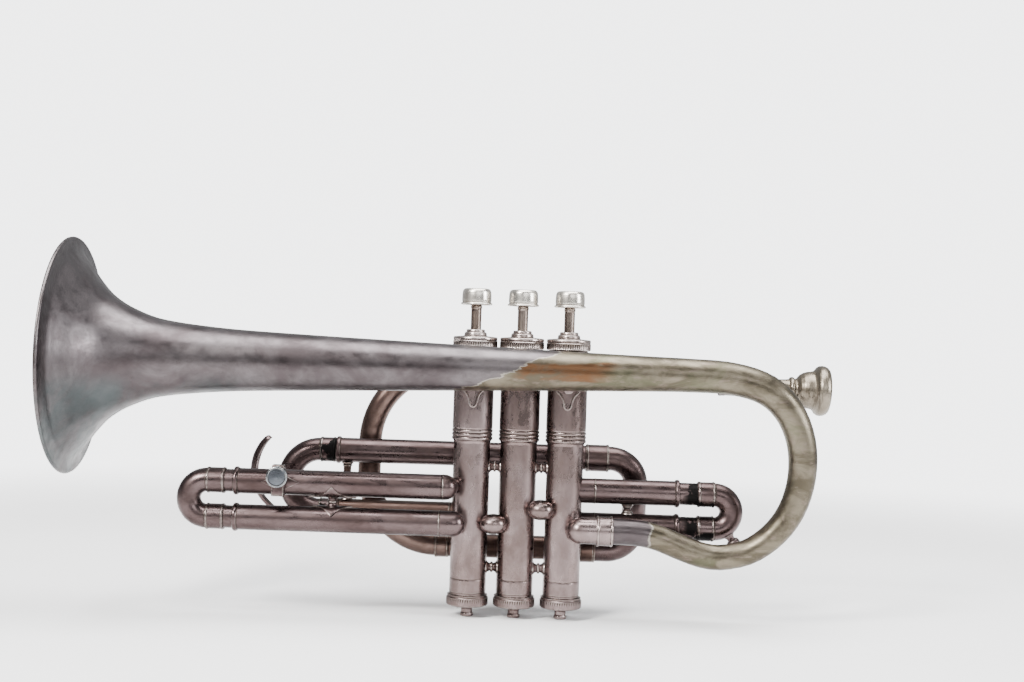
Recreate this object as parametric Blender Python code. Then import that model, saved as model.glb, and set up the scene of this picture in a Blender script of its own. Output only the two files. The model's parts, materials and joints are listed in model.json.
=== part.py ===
"""Piston cornet, built sub-part by sub-part.

Frame: the origin is the centre of the foot under the middle valve's bottom cap. +X runs to the
mouthpiece, -X to the bell, +Z up the valves, -Y to the bell-tube side. Dimensions are in
millimetres and are turned into metres when a mesh is made.
"""
import bpy
import bmesh
from math import pi, sin, cos, radians, hypot
from mathutils import Matrix, Vector

MM = 0.001
GAP = 0.3             # clear gap kept between neighbouring pieces

# ---- valves ----
VALVE_PITCH = 24.0    # first valve at +X, third at -X
STROKE = 12.0
FOOT_R = 3.35
CAP_Z = 5.5           # underside of a bottom cap
BOTTOM_CAP_R = 10.75
CASING_R = 9.4
UPPER_R = 10.1
BORE_R = 8.5
CASING_Z = (7.8, 140.7)
BEAD_Z = 90.4
TOP_CAP_Z = 137.7
TOP_CAP_R = 11.4
BOSS_Z = 147.1
STEM_R = 2.7
PISTON_R = 8.2
PISTON_Z = (30.0, 100.0)
SPRING_SEAT_Z = 40.0
SPRING_R = 5.6
SPRING_WIRE_R = 0.5
SPRING_TURNS = 6
BUTTON_Z = (159.6, 168.1)
BUTTON_R = 8.1
CASING_CLEAR_R = CASING_R + GAP

# ---- tubing ----
TUBE_R = 6.4          # outer slide tubes
TUBE_BORE_R = 6.0
LEG_R = 5.7           # inner slide legs
LEG_BORE_R = 5.2
BOW_R = 6.0
FERRULE_R = 6.45
RING_R = 7.1          # rolled ring at the mouth of an outer slide tube

THIRD_Y, THIRD_Z = -14.0, (66.8, 48.5)
THIRD_MOUTH_X = -142.9
THIRD_FERRULE_X = (-147.3, -156.5)
THIRD_BALL_X = (-36.6, -32.3)

FIRST_Y, FIRST_Z = 1.0, (66.0, 48.5)
FIRST_MOUTH_X = 83.4
FIRST_FERRULE_X = (92.7, 101.5)
KNOB_ANGLE = radians(-56.0)

SECOND_Z = (63.0, 47.0)
SECOND_MOUTH_Y = 24.5
SECOND_FERRULE_Y = (26.0, 30.5)

MAIN_Y, MAIN_Z = 17.0, (81.7, 49.7)
MAIN_MOUTH_X = -95.3
MAIN_FERRULE_X = (-95.6, -103.6)
MAIN_BALL_X = -31.5

LEAD_Y = 30.5
LEAD_TILT = radians(1.9)          # the leadpipe falls this much towards the mouthpiece
LEAD_REF = (160.0, 120.5)         # a point (x, z) on its axis, at the mouthpiece rim
RECEIVER_X = (106.0, 136.0)
FRONT_BOW_X = -79.0
FRONT_BOW_BEND = (41.6, 37.0)
RETURN_Y, RETURN_Z = 30.0, 32.0
REAR_BOW_X = 62.2
REAR_BOW_BEND = 14.0
JOINT_R = 6.3                     # plain tubing of the wrap

# ---- bell ----
BELL_Y, BELL_Z = -23.0, 127.5
BELL_RIM_X = -225.5
BELL_WALL = 0.8
BELL_END_X = 44.9
BELL_TAIL_Y = -14.0
# centre line of the rear loop: (x, y, z)
BELL_LOOP = [
    (80.0, -23.0, 127.5), (104.0, -23.0, 126.6), (122.0, -22.7, 121.8), (134.0, -21.9, 111.5),
    (141.0, -20.6, 96.0), (142.2, -19.2, 78.5), (138.2, -17.8, 62.0), (130.0, -16.6, 49.3),
    (118.0, -15.4, 39.9), (105.0, -14.5, 36.2), (95.0, -14.1, 36.6), (84.0, -14.0, 40.1),
    (71.0, -14.0, 45.0), (60.0, -14.0, 47.0), (BELL_END_X, -14.0, 47.2)]
# (distance from the rim along the tube, outer diameter)
BELL_TAPER = [
    (1.0, 114.5), (3.5, 103.0), (8.5, 89.0), (13.5, 76.3), (20.5, 62.0), (30.5, 49.7), (45.5, 39.1),
    (65.5, 33.8), (85.0, 30.8), (115.0, 28.3), (164.5, 24.9), (263.5, 19.0), (305.5, 17.0),
    (329.5, 16.4), (388.0, 14.5), (460.0, 12.8), (540.0, 13.2)]

# ---- water key, on the main tuning slide ----
KEY_PIVOT = (-122.4, MAIN_Y, 46.6)
KEY_NIPPLE_ANGLE = radians(-103.0)

# ---- lyre socket, on the third slide's upper tube ----
LYRE_X, LYRE_Y = -119.2, -24.1
LYRE_Z = (60.8, 76.3)
LYRE_SIZE = (6.2, 5.8)
LYRE_HOLE = (4.6, 4.4)
LYRE_SCREW_Z = 70.7
LYRE_SCREW_R = 5.45

SIDES = 12
ROUND = 16
BELL_SIDES = 18


# ---------------------------------------------------------------- scene and materials
for old in list(bpy.data.objects):
    bpy.data.objects.remove(old, do_unlink=True)


def make_material(name, colour, roughness, metallic):
    mat = bpy.data.materials.new(name)
    mat.use_nodes = True
    shader = mat.node_tree.nodes["Principled BSDF"]
    shader.inputs["Base Color"].default_value = (*colour, 1.0)
    shader.inputs["Roughness"].default_value = roughness
    shader.inputs["Metallic"].default_value = metallic
    mat.diffuse_color = (*colour, 1.0)
    return mat


LOOKS = {
    "tarnished_silver": ((0.36, 0.30, 0.28), 0.36, 1.0),
    "worn_bell": ((0.38, 0.33, 0.28), 0.40, 1.0),
    "bright_silver": ((0.72, 0.69, 0.64), 0.25, 1.0),
    "piston_nickel": ((0.60, 0.57, 0.52), 0.28, 1.0),
    "spring_steel": ((0.42, 0.42, 0.44), 0.35, 1.0),
    "cork": ((0.50, 0.33, 0.19), 0.90, 0.0),
}


# ---------------------------------------------------------------- mesh makers
def finish(name, bm, look, origin=(0.0, 0.0, 0.0)):
    """Turn a bmesh in millimetres into a named object whose origin is the given point."""
    bmesh.ops.recalc_face_normals(bm, faces=bm.faces)
    mesh = bpy.data.meshes.new(name)
    bm.to_mesh(mesh)
    bm.free()
    mesh.transform(Matrix.Scale(MM, 4) @ Matrix.Translation(-Vector(origin)))
    mesh.shade_smooth()
    mesh.set_sharp_from_angle(angle=radians(35.0))
    ob = bpy.data.objects.new(name, mesh)
    ob.location = Vector(origin) * MM
    bpy.context.scene.collection.objects.link(ob)
    if look:
        mesh.materials.append(make_material(name + "_finish", *LOOKS[look]))
    return ob


def skin(bm, rings, closed):
    """Join rings of vertices with faces. A closed skin also joins the last ring to the first."""
    last = len(rings) if closed else len(rings) - 1
    for i in range(last):
        a, b = rings[i], rings[(i + 1) % len(rings)]
        for k in range(max(len(a), len(b))):
            quad = [a[k % len(a)], a[(k + 1) % len(a)], b[(k + 1) % len(b)], b[k % len(b)]]
            unique = [v for j, v in enumerate(quad) if v not in quad[:j]]
            if len(unique) > 2:
                bm.faces.new(unique)


def direction_frame(axis, side=(0.0, 1.0, 0.0)):
    """Two unit vectors square to an axis. The first lies as near to side as it can."""
    w = Vector(axis).normalized()
    u = Vector(side) - w * w.dot(Vector(side))
    if u.length < 1e-6:
        u = Vector((1.0, 0.0, 0.0))
        u -= w * w.dot(u)
    u.normalize()
    return u, w.cross(u)


def turned(name, profile, base, axis, look=None, sides=ROUND, origin=None, spin=0.0):
    """Spin a closed outline of (radius, height) points about an axis through base.

    spin turns the facets about the axis.
    """
    w = Vector(axis).normalized()
    u, v = direction_frame(w)
    bm = bmesh.new()
    rings = []
    for radius, height in profile:
        at = Vector(base) + w * height
        if radius < 1e-6:
            rings.append([bm.verts.new(at)])
            continue
        turn = [spin + 2.0 * pi * k / sides for k in range(sides)]
        rings.append([bm.verts.new(at + (u * cos(t) + v * sin(t)) * radius) for t in turn])
    skin(bm, rings, closed=len(rings[0]) > 1)
    return finish(name, bm, look, origin if origin else base)


def rod(name, start, end, radius, sides=SIDES, look=None, spin=0.0):
    """Solid round bar between two points."""
    length = (Vector(end) - Vector(start)).length
    outline = [(0.0, 0.0), (radius, 0.0), (radius, length), (0.0, length)]
    return turned(name, outline, start, Vector(end) - Vector(start), look, sides, None, spin)


def rounded_path(corners, bends, step=15.0):
    """Points along a polyline whose inner corners are rounded to the given bend radii."""
    pts = [Vector(c) for c in corners]
    out = [pts[0]]
    for i in range(1, len(pts) - 1):
        a = (pts[i - 1] - pts[i]).normalized()
        b = (pts[i + 1] - pts[i]).normalized()
        turn = pi - a.angle(b)
        cut = bends[i - 1] / cos(turn / 2.0) * sin(turn / 2.0)
        start = pts[i] + a * cut
        mid = (a + b).normalized()
        centre = pts[i] + mid * (bends[i - 1] / cos(turn / 2.0))
        spoke = start - centre
        axis = (-a).cross(b).normalized()
        steps = max(2, round(turn / radians(step)))
        out += [centre + Matrix.Rotation(turn * k / steps, 3, axis) @ spoke for k in range(steps + 1)]
    out.append(pts[-1])
    return [p for i, p in enumerate(out) if i == 0 or (p - out[i - 1]).length > 1e-4]


def path_rings(bm, path, radii, sides):
    """One ring of vertices at each point of a path, square to it and without twist."""
    rings = []
    side = Vector((0.0, 1.0, 0.0))
    for i, point in enumerate(path):
        ahead = (path[i + 1] - point).normalized() if i < len(path) - 1 else Vector()
        behind = (point - path[i - 1]).normalized() if i else Vector()
        u, v = direction_frame(ahead + behind, side)
        side = u
        turn = [2.0 * pi * k / sides for k in range(sides)]
        rings.append([bm.verts.new(point + (u * cos(t) + v * sin(t)) * radii[i]) for t in turn])
    return rings


def swept(name, path, outer, inner, look=None, sides=SIDES, origin=None):
    """Tube along a path. outer and inner are a radius, or one for each point.

    Inner is None for a solid bar. Where the wall runs straight the bore needs no ring of its own,
    so an inner radius of zero leaves that point out.
    """
    count = len(path)
    outer = list(outer) if hasattr(outer, "__len__") else [outer] * count
    bm = bmesh.new()
    rings = path_rings(bm, path, outer, sides)
    if inner is None:
        rings = [[bm.verts.new(path[0])]] + rings + [[bm.verts.new(path[-1])]]
        skin(bm, rings, closed=False)
    else:
        inner = list(inner) if hasattr(inner, "__len__") else [inner] * count
        kept = [(p, r) for p, r in zip(path, inner) if r > 0.0]
        bore = path_rings(bm, [p for p, r in kept], [r for p, r in kept], sides)
        skin(bm, rings + bore[::-1], closed=True)
    return finish(name, bm, look, origin if origin else path[0])


def prism(name, outline, depth, look=None):
    """Outline of (x, z) points extruded along Y between two depths."""
    bm = bmesh.new()
    near = [bm.verts.new((x, depth[0], z)) for x, z in outline]
    face = bm.faces.new(near)
    moved = bmesh.ops.extrude_face_region(bm, geom=[face])["geom"]
    verts = [g for g in moved if isinstance(g, bmesh.types.BMVert)]
    bmesh.ops.translate(bm, verts=verts, vec=(0.0, depth[1] - depth[0], 0.0))
    return finish(name, bm, look)


def block(name, low, high, look=None):
    """Box between two corners."""
    size = Vector(high) - Vector(low)
    bm = bmesh.new()
    bmesh.ops.create_cube(bm, size=1.0)
    bmesh.ops.scale(bm, verts=bm.verts, vec=size)
    bmesh.ops.translate(bm, verts=bm.verts, vec=(Vector(low) + Vector(high)) / 2.0)
    return finish(name, bm, look)


def combine(ob, other, operation):
    """Boolean other into ob, keep the result as ob's mesh and drop other."""
    mod = ob.modifiers.new("cut", "BOOLEAN")
    mod.operation = operation
    mod.solver = "EXACT"
    mod.object = other
    bpy.context.view_layer.update()
    graph = bpy.context.evaluated_depsgraph_get()
    mesh = bpy.data.meshes.new_from_object(ob.evaluated_get(graph))
    mesh.name = ob.name
    ob.modifiers.clear()
    ob.data = mesh
    bpy.data.objects.remove(other, do_unlink=True)
    return ob


def join(ob, *others):
    for other in others:
        combine(ob, other, "UNION")
    return ob


def cut(ob, *others):
    for other in others:
        combine(ob, other, "DIFFERENCE")
    return ob


def keep(ob, other):
    return combine(ob, other, "INTERSECT")


def settle(ob, look, origin):
    """Give a finished boolean result its own material, smooth shading and origin."""
    shift = Vector(origin) * MM - ob.location
    ob.data.transform(Matrix.Translation(-shift))
    ob.location = Vector(origin) * MM
    ob.data.materials.clear()
    ob.data.materials.append(make_material(ob.name + "_finish", *LOOKS[look]))
    bm = bmesh.new()
    bm.from_mesh(ob.data)
    bmesh.ops.remove_doubles(bm, verts=bm.verts, dist=2e-7)
    bm.to_mesh(ob.data)
    bm.free()
    for poly in ob.data.polygons:
        poly.material_index = 0
    ob.data.shade_smooth()
    ob.data.set_sharp_from_angle(angle=radians(35.0))
    return ob


def casing_space(valve_x, radius=CASING_CLEAR_R, low=20.0, high=88.0):
    """The room a casing needs, as a cutter."""
    return rod("casing_space", (valve_x, 0.0, low), (valve_x, 0.0, high), radius, ROUND)


# ---------------------------------------------------------------- valves
VALVES = {1: VALVE_PITCH, 2: 0.0, 3: -VALVE_PITCH}


def build_casing(number, x):
    low, high = CASING_Z
    outline = [
        (9.1, low), (9.1, 11.8), (CASING_R, 12.2), (CASING_R, BEAD_Z), (10.3, 91.2), (10.3, 94.8),
        (UPPER_R, 95.6), (UPPER_R, 137.2), (9.9, 137.4), (9.9, high), (9.2, high), (9.2, 104.0),
        (BORE_R, 103.5), (BORE_R, low)]
    ob = turned("valve_casing_%d" % number, outline, (x, 0.0, 0.0), (0.0, 0.0, 1.0))
    for target, height, radius in CASING_PORTS[number]:
        centre = Vector((x, 0.0, height))
        aim = (Vector((target[0], target[1], height)) - centre).normalized()
        cut(ob, rod("port", centre + aim * 4.0, centre + aim * 14.0, radius, 8))
    return settle(ob, "tarnished_silver", (x, 0.0, 0.0))


def build_bottom_cap(number, x):
    r, z = BOTTOM_CAP_R, CAP_Z
    outline = [
        (0.0, 0.0), (FOOT_R, 0.0), (FOOT_R, z), (r - 0.8, z), (r, z + 0.8), (r, z + 5.4),
        (r - 0.5, z + 6.0), (9.4, z + 6.0), (9.4, z + 2.0), (0.0, z + 2.0)]
    return turned("bottom_cap_%d" % number, outline, (x, 0.0, 0.0), (0.0, 0.0, 1.0),
                  "tarnished_silver", ROUND)


def build_top_cap(number, x):
    r, z = TOP_CAP_R, TOP_CAP_Z
    outline = [
        (3.0, 141.0), (10.2, 141.0), (10.2, z), (r, z), (r, z + 4.2), (r - 0.6, z + 4.9),
        (5.3, 143.4), (4.5, 144.8), (4.6, BOSS_Z), (3.0, BOSS_Z)]
    return turned("top_cap_%d" % number, outline, (x, 0.0, 0.0), (0.0, 0.0, 1.0),
                  "tarnished_silver", ROUND)


def build_piston(number, x):
    low, high = PISTON_Z
    outline = [
        (0.0, SPRING_SEAT_Z), (6.7, SPRING_SEAT_Z), (6.7, low), (PISTON_R, low), (PISTON_R, high),
        (0.0, high)]
    ob = turned("piston_%d" % number, outline, (x, 0.0, 0.0), (0.0, 0.0, 1.0), sides=ROUND)
    for height, angle in ((49.0, 90.0), (63.0, 30.0)):
        aim = Vector((cos(radians(angle)), sin(radians(angle)), 0.0)) * 12.0
        centre = Vector((x, 0.0, height))
        cut(ob, rod("passage", centre - aim, centre + aim, 4.8, 10))
    return settle(ob, "piston_nickel", (x, 0.0, 0.0))


def build_stem(number, x):
    foot = PISTON_Z[1] + GAP
    outline = [
        (0.0, foot), (5.0, foot), (5.0, foot + 3.0), (STEM_R, foot + 4.5), (STEM_R, 133.0),
        (6.0, 134.0), (6.0, 139.6), (STEM_R, 140.2), (STEM_R, 163.0), (0.0, 163.0)]
    return turned("valve_stem_%d" % number, outline, (x, 0.0, 0.0), (0.0, 0.0, 1.0),
                  "bright_silver", SIDES)


def build_button(number, x):
    low, high = BUTTON_Z
    outline = [
        (0.0, 163.3), (3.0, 163.3), (3.0, low), (BUTTON_R, low), (BUTTON_R, low + 1.2),
        (7.7, low + 2.0), (7.3, high - 1.1), (6.3, high), (0.0, high)]
    return turned("finger_button_%d" % number, outline, (x, 0.0, 0.0), (0.0, 0.0, 1.0),
                  "bright_silver", ROUND)


def build_spring(number, x):
    low = CAP_Z + 2.0 + GAP + SPRING_WIRE_R
    high = SPRING_SEAT_Z - GAP - SPRING_WIRE_R
    steps = SPRING_TURNS * 7
    path = []
    for k in range(steps + 1):
        turn = 2.0 * pi * SPRING_TURNS * k / steps
        z = low + (high - low) * k / steps
        path.append(Vector((x + SPRING_R * cos(turn), SPRING_R * sin(turn), z)))
    return swept("valve_spring_%d" % number, path, SPRING_WIRE_R, None, "spring_steel", 4,
                 origin=(x, 0.0, low - SPRING_WIRE_R))


# (point the port faces, height, radius) for each casing
CASING_PORTS = {
    1: [((60.0, 1.0), FIRST_Z[0], 4.6), ((60.0, 1.0), FIRST_Z[1], 4.6)],
    2: [((0.0, 30.0), SECOND_Z[0], 4.6), ((0.0, 30.0), SECOND_Z[1], 4.6)],
    3: [((THIRD_BALL_X[0], THIRD_Y), THIRD_Z[0], 4.6), ((THIRD_BALL_X[1], THIRD_Y), THIRD_Z[1], 4.6)],
}


def build_valves():
    for number, x in VALVES.items():
        build_casing(number, x)
        build_bottom_cap(number, x)
        build_top_cap(number, x)
        moving = [build_piston(number, x), build_stem(number, x), build_button(number, x)]
        carrier = bpy.data.objects.new("valve_%d_axis" % number, None)
        carrier.empty_display_size = 0.01
        carrier.location = (x * MM, 0.0, 0.0)
        bpy.context.scene.collection.objects.link(carrier)
        for ob in moving:
            ob.parent = carrier
            ob.location = (0.0, 0.0, 0.0)
        build_spring(number, x)


def build_casing_links():
    """Egg-shaped crossovers in front of the casings and the spools between them."""
    half = VALVE_PITCH / 2.0
    for name, x, z in (("crossover_3_2", -11.7, 48.4), ("crossover_2_1", 12.2, 56.3)):
        shells = []
        for shrink in (0.0, 0.9):
            bm = bmesh.new()
            bmesh.ops.create_uvsphere(bm, u_segments=12, v_segments=6, radius=1.0)
            bmesh.ops.scale(bm, verts=bm.verts, vec=(6.9 - shrink, 6.4 - shrink, 5.2 - shrink))
            bmesh.ops.translate(bm, verts=bm.verts, vec=(x, -8.4, z))
            shells.append(finish(name, bm, None))
        ob = cut(shells[0], shells[1])
        centre = half if x > 0 else -half
        cut(ob, casing_space(centre - half), casing_space(centre + half))
        ob.name = name
        settle(ob, "tarnished_silver", (x, -8.4, z))
    for tag, x in (("32", -half), ("21", half)):
        for level, z in (("upper", 77.0), ("lower", 25.4)):
            outline = [
                (0.0, -4.0), (3.1, -4.0), (3.1, -1.2), (2.2, 0.0), (3.1, 1.2), (3.1, 4.0),
                (0.0, 4.0)]
            ob = turned("casing_brace_%s_%s" % (level, tag), outline, (x, 0.0, z), (1.0, 0.0, 0.0),
                        sides=10)
            cut(ob, casing_space(x - half), casing_space(x + half))
            settle(ob, "tarnished_silver", (x, 0.0, z))


# ---------------------------------------------------------------- slides
def slide_outer(name, y, z, mouth_x, end_x, ball, valve_x):
    """Outer slide tube along X: a rolled ring at its mouth and a port end at the valve.

    With ball the end is a rounded knuckle that turns into the casing; without it the tube runs
    straight into the casing.
    """
    way = 1.0 if end_x > mouth_x else -1.0
    length = abs(end_x - mouth_x)
    solid = [(0.0, 0.0), (RING_R, 0.0), (RING_R, 2.4), (TUBE_R, 2.8)]
    bore = [(0.0, -1.0), (TUBE_BORE_R, -1.0)]
    if ball:
        quarter = [radians(t) for t in (0.0, 28.0, 56.0, 90.0)]
        solid += [(TUBE_R * cos(t), length + TUBE_R * sin(t)) for t in quarter]
        bore += [(TUBE_BORE_R, length - 12.0)]
        bore += [(LEG_BORE_R * cos(t), length + LEG_BORE_R * sin(t)) for t in quarter]
    else:
        solid += [(TUBE_R, length), (0.0, length)]
        bore += [(TUBE_BORE_R, length + 1.0), (0.0, length + 1.0)]
    base = (mouth_x, y, z)
    ob = turned(name, solid, base, (way, 0.0, 0.0), sides=SIDES)
    hollow = turned("bore", bore, base, (way, 0.0, 0.0), sides=SIDES)
    if ball:
        heart = Vector((end_x, y, z))
        port = Vector((valve_x, 0.0, z))
        aim = (port - heart).normalized()
        join(ob, rod("stub", heart + aim * 0.37, port - aim * 3.1, TUBE_R - 0.8, spin=0.15))
        join(hollow, rod("stub_bore", heart + aim * 0.23, port, LEG_BORE_R - 0.8, spin=0.19))
    cut(ob, casing_space(valve_x), hollow)
    return settle(ob, "tarnished_silver", base)


def slide_bow(axis, start, ferrule, across, insert):
    """Path, outer and inner radii of a U-shaped slide: two legs, two ferrules, a half-round bow.

    axis is the pull direction, start is where the first ferrule meets the bow, and across runs
    from the first leg's centre to the second's.
    """
    axis, across, start = Vector(axis), Vector(across), Vector(start)
    bend = across.length / 2.0
    centre = start + across / 2.0
    stations = [(-ferrule - insert, LEG_R, LEG_BORE_R), (-ferrule - 0.05, LEG_R, 0.0),
                (-ferrule, FERRULE_R, 0.0), (-0.05, FERRULE_R, 0.0), (0.0, BOW_R, LEG_BORE_R)]
    points = [(start + axis * d, outer, inner) for d, outer, inner in stations]
    steps = 7
    for k in range(1, steps):
        t = pi * k / steps
        spot = centre - across.normalized() * bend * cos(t) + axis * bend * sin(t)
        points.append((spot, BOW_R, LEG_BORE_R))
    points += [(start + across + axis * d, outer, inner) for d, outer, inner in reversed(stations)]
    return [list(column) for column in zip(*points)]


def build_third_slide():
    y = THIRD_Y
    for tag, z, ball in zip(("upper", "lower"), THIRD_Z, THIRD_BALL_X):
        slide_outer("third_slide_outer_%s" % tag, y, z, THIRD_MOUTH_X, ball, True, -VALVE_PITCH)
    start, end = THIRD_FERRULE_X
    drop = THIRD_Z[1] - THIRD_Z[0]
    path, outer, inner = slide_bow((-1.0, 0.0, 0.0), (end, y, THIRD_Z[0]), start - end,
                                   (0.0, 0.0, drop), 62.0)
    swept("third_valve_slide", path, outer, inner, "tarnished_silver", SIDES,
          (end, y, sum(THIRD_Z) / 2.0))
    leaf_brace("third_slide_brace", -93.1, y, THIRD_Z, 12.0)


def leaf(name, x, y, z, half_length, apex, base, sign):
    """Pointed saddle plate bent round a tube that runs along X."""
    shoulder = half_length * 0.45
    rise = base + sign * 1.6
    outline = [
        (x - half_length, base - sign * 2.0), (x - half_length, base), (x - shoulder, rise),
        (x, apex), (x + shoulder, rise), (x + half_length, base),
        (x + half_length, base - sign * 2.0)]
    plate = prism(name, outline, (y - 8.0, y + 8.0))
    far = 2.2 * half_length
    shell = [(TUBE_R + GAP, 0.0), (TUBE_R + 0.9, 0.0), (TUBE_R + 0.9, far), (TUBE_R + GAP, far)]
    start = (x - 1.1 * half_length, y, z)
    return keep(plate, turned("shell", shell, start, (1.0, 0.0, 0.0), sides=SIDES))


def leaf_brace(name, x, y, heights, half_length):
    """Turned spool between two slide tubes, with a pointed leaf on each."""
    high, low = heights
    top = leaf(name, x, y, high, half_length, high - 1.2, high - 5.2, 1.0)
    under = leaf("under", x, y, low, half_length * 0.85, low + 2.6, low + 5.9, -1.0)
    a, b = high - TUBE_R - 0.45, low + TUBE_R + 0.45
    outline = [(0.0, b), (2.3, b), (2.3, b + 1.1), (1.8, b + 1.5), (2.0, a - 1.0), (2.3, a), (0.0, a)]
    spool = turned("spool", outline, (x, y, 0.0), (0.0, 0.0, 1.0), sides=10)
    join(top, under, spool)
    return settle(top, "tarnished_silver", (x, y, (a + b) / 2.0))


def build_first_slide():
    y = FIRST_Y
    for tag, z in (("upper", FIRST_Z[0]), ("lower", FIRST_Z[1])):
        slide_outer("first_slide_outer_%s" % tag, y, z, FIRST_MOUTH_X, VALVE_PITCH + 4.0, False,
                    VALVE_PITCH)
    start, end = FIRST_FERRULE_X
    drop = FIRST_Z[1] - FIRST_Z[0]
    path, outer, inner = slide_bow((1.0, 0.0, 0.0), (end, y, FIRST_Z[0]), end - start,
                                   (0.0, 0.0, drop), 38.0)
    ob = swept("first_valve_slide", path, outer, inner, None, SIDES)
    centre = Vector((end, y, sum(FIRST_Z) / 2.0))
    reach = -drop / 2.0 + BOW_R
    aim = Vector((cos(KNOB_ANGLE), 0.0, sin(KNOB_ANGLE)))
    knob = [(0.0, reach - 0.7), (2.6, reach - 0.7), (2.2, reach + 0.8), (2.0, reach + 2.6),
            (3.0, reach + 3.6), (3.2, reach + 5.0), (2.4, reach + 6.2), (0.0, reach + 6.5)]
    join(ob, turned("knob", knob, centre, aim, sides=12))
    settle(ob, "tarnished_silver", centre)
    low, high = FIRST_Z[1] + TUBE_R + GAP, FIRST_Z[0] - TUBE_R - GAP
    spool_between("first_slide_brace", (56.8, y, low - 1.5), (56.8, y, high + 1.5), 2.6, [
        ((FIRST_MOUTH_X - 50.0, y, FIRST_Z[0]), (FIRST_MOUTH_X, y, FIRST_Z[0]), TUBE_R + GAP),
        ((FIRST_MOUTH_X - 50.0, y, FIRST_Z[1]), (FIRST_MOUTH_X, y, FIRST_Z[1]), TUBE_R + GAP)])


def spool_between(name, a, b, radius, clear, look="tarnished_silver"):
    """Turned spool from a to b, hollowed at its ends to sit on the given round pieces."""
    length = (Vector(b) - Vector(a)).length
    m = length / 2.0
    outline = [
        (0.0, 0.0), (radius, 0.0), (radius, m * 0.6), (radius * 0.75, m * 0.8),
        (radius * 0.75, m * 1.2), (radius, m * 1.4), (radius, length), (0.0, length)]
    ob = turned(name, outline, a, Vector(b) - Vector(a), sides=10)
    for start, end, r in clear:
        cut(ob, rod("room", start, end, r, SIDES if r < 9.0 else ROUND))
    return settle(ob, look, (Vector(a) + Vector(b)) / 2.0)


def build_second_slide():
    casing = CASING_CLEAR_R
    for tag, z in (("upper", SECOND_Z[0]), ("lower", SECOND_Z[1])):
        y = SECOND_MOUTH_Y
        solid = [(0.0, 0.0), (RING_R - 0.4, 0.0), (RING_R, 0.5), (RING_R, 2.3), (TUBE_R, 2.8),
                 (TUBE_R, y - 5.0), (0.0, y - 5.0)]
        bore = [(0.0, -1.0), (TUBE_BORE_R, -1.0), (TUBE_BORE_R, y), (0.0, y)]
        ob = turned("second_slide_outer_%s" % tag, solid, (0.0, y, z), (0.0, -1.0, 0.0), sides=SIDES)
        cut(ob, turned("bore", bore, (0.0, y, z), (0.0, -1.0, 0.0), sides=SIDES))
        cut(ob, casing_space(0.0, casing))
        settle(ob, "tarnished_silver", (0.0, y, z))
    start, end = SECOND_FERRULE_Y
    path, outer, inner = slide_bow((0.0, 1.0, 0.0), (0.0, end, SECOND_Z[0]), end - start,
                                   (0.0, 0.0, SECOND_Z[1] - SECOND_Z[0]), 13.0)
    swept("second_valve_slide", path, outer, inner, "tarnished_silver", SIDES,
          (0.0, end, sum(SECOND_Z) / 2.0))


def build_main_slide():
    y = MAIN_Y
    slide_outer("main_slide_outer_lower", y, MAIN_Z[1], MAIN_MOUTH_X, MAIN_BALL_X, True, -VALVE_PITCH)
    # long transfer tube: its front end is the slide's upper outer tube, its rear end is a sleeve
    rear = 47.5
    length = rear - MAIN_MOUTH_X
    outline = [
        (RING_R, 0.0), (RING_R, 2.4), (TUBE_R, 2.8), (TUBE_R, length - 12.0),
        (7.2, length - 11.4), (7.2, length), (JOINT_R + GAP, length),
        (JOINT_R + GAP, length - 4.3), (TUBE_BORE_R, length - 4.4), (TUBE_BORE_R, 0.0)]
    turned("transfer_tube", outline, (MAIN_MOUTH_X, y, MAIN_Z[0]), (1.0, 0.0, 0.0),
           "tarnished_silver", SIDES)
    start, end = MAIN_FERRULE_X
    drop = MAIN_Z[1] - MAIN_Z[0]
    path, outer, inner = slide_bow((-1.0, 0.0, 0.0), (end, y, MAIN_Z[0]), start - end,
                                   (0.0, 0.0, drop), 50.0)
    ob = swept("main_tuning_slide", path, outer, inner, None, SIDES)
    centre = Vector((end, y, sum(MAIN_Z) / 2.0))
    reach = -drop / 2.0 + BOW_R
    aim = Vector((cos(KEY_NIPPLE_ANGLE), 0.0, sin(KEY_NIPPLE_ANGLE)))
    nipple = [(0.0, reach - 1.5), (2.6, reach - 1.5), (2.6, reach + 0.9), (0.0, reach + 0.9)]
    join(ob, turned("nipple", nipple, centre, aim, sides=12))
    cut(ob, rod("spit_hole", centre + aim * (reach - 6.0), centre + aim * (reach + 4.0), 1.3, 8))
    pivot = Vector(KEY_PIVOT)
    to_pivot = (pivot - centre).normalized()
    for side in (-1.0, 1.0):
        post_y = y + side * 3.4
        foot = centre + to_pivot * (reach - 1.6)
        post = block("post", (-1.1, -0.7, -1.2), (1.1, 0.7, (pivot - foot).length + 1.6))
        turn = Vector((0.0, 0.0, 1.0)).rotation_difference(to_pivot).to_matrix().to_4x4()
        post.data.transform(turn)
        post.location = Vector((foot.x, post_y, foot.z)) * MM
        join(ob, post)
    cut(ob, rod("pin_hole", pivot - Vector((0.0, 6.0, 0.0)), pivot + Vector((0.0, 6.0, 0.0)), 0.95, 8))
    settle(ob, "tarnished_silver", centre)
    build_water_key(pivot, centre, reach)
    low, high = MAIN_Z[1] + TUBE_R + GAP, MAIN_Z[0] - TUBE_R - GAP
    spool_between("main_slide_brace", (-89.4, y, low - 1.2), (-89.4, y, high + 1.2), 2.4, [
        ((-99.0, y, MAIN_Z[0]), (-80.0, y, MAIN_Z[0]), TUBE_R + GAP),
        ((-99.0, y, MAIN_Z[1]), (-80.0, y, MAIN_Z[1]), TUBE_R + GAP)])


KEY_TOUCH = [(-128.6, 51.6), (-133.2, 56.5), (-136.1, 62.6), (-137.0, 69.5), (-136.0, 76.4),
             (-133.4, 82.6), (-129.9, 87.3)]


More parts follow.
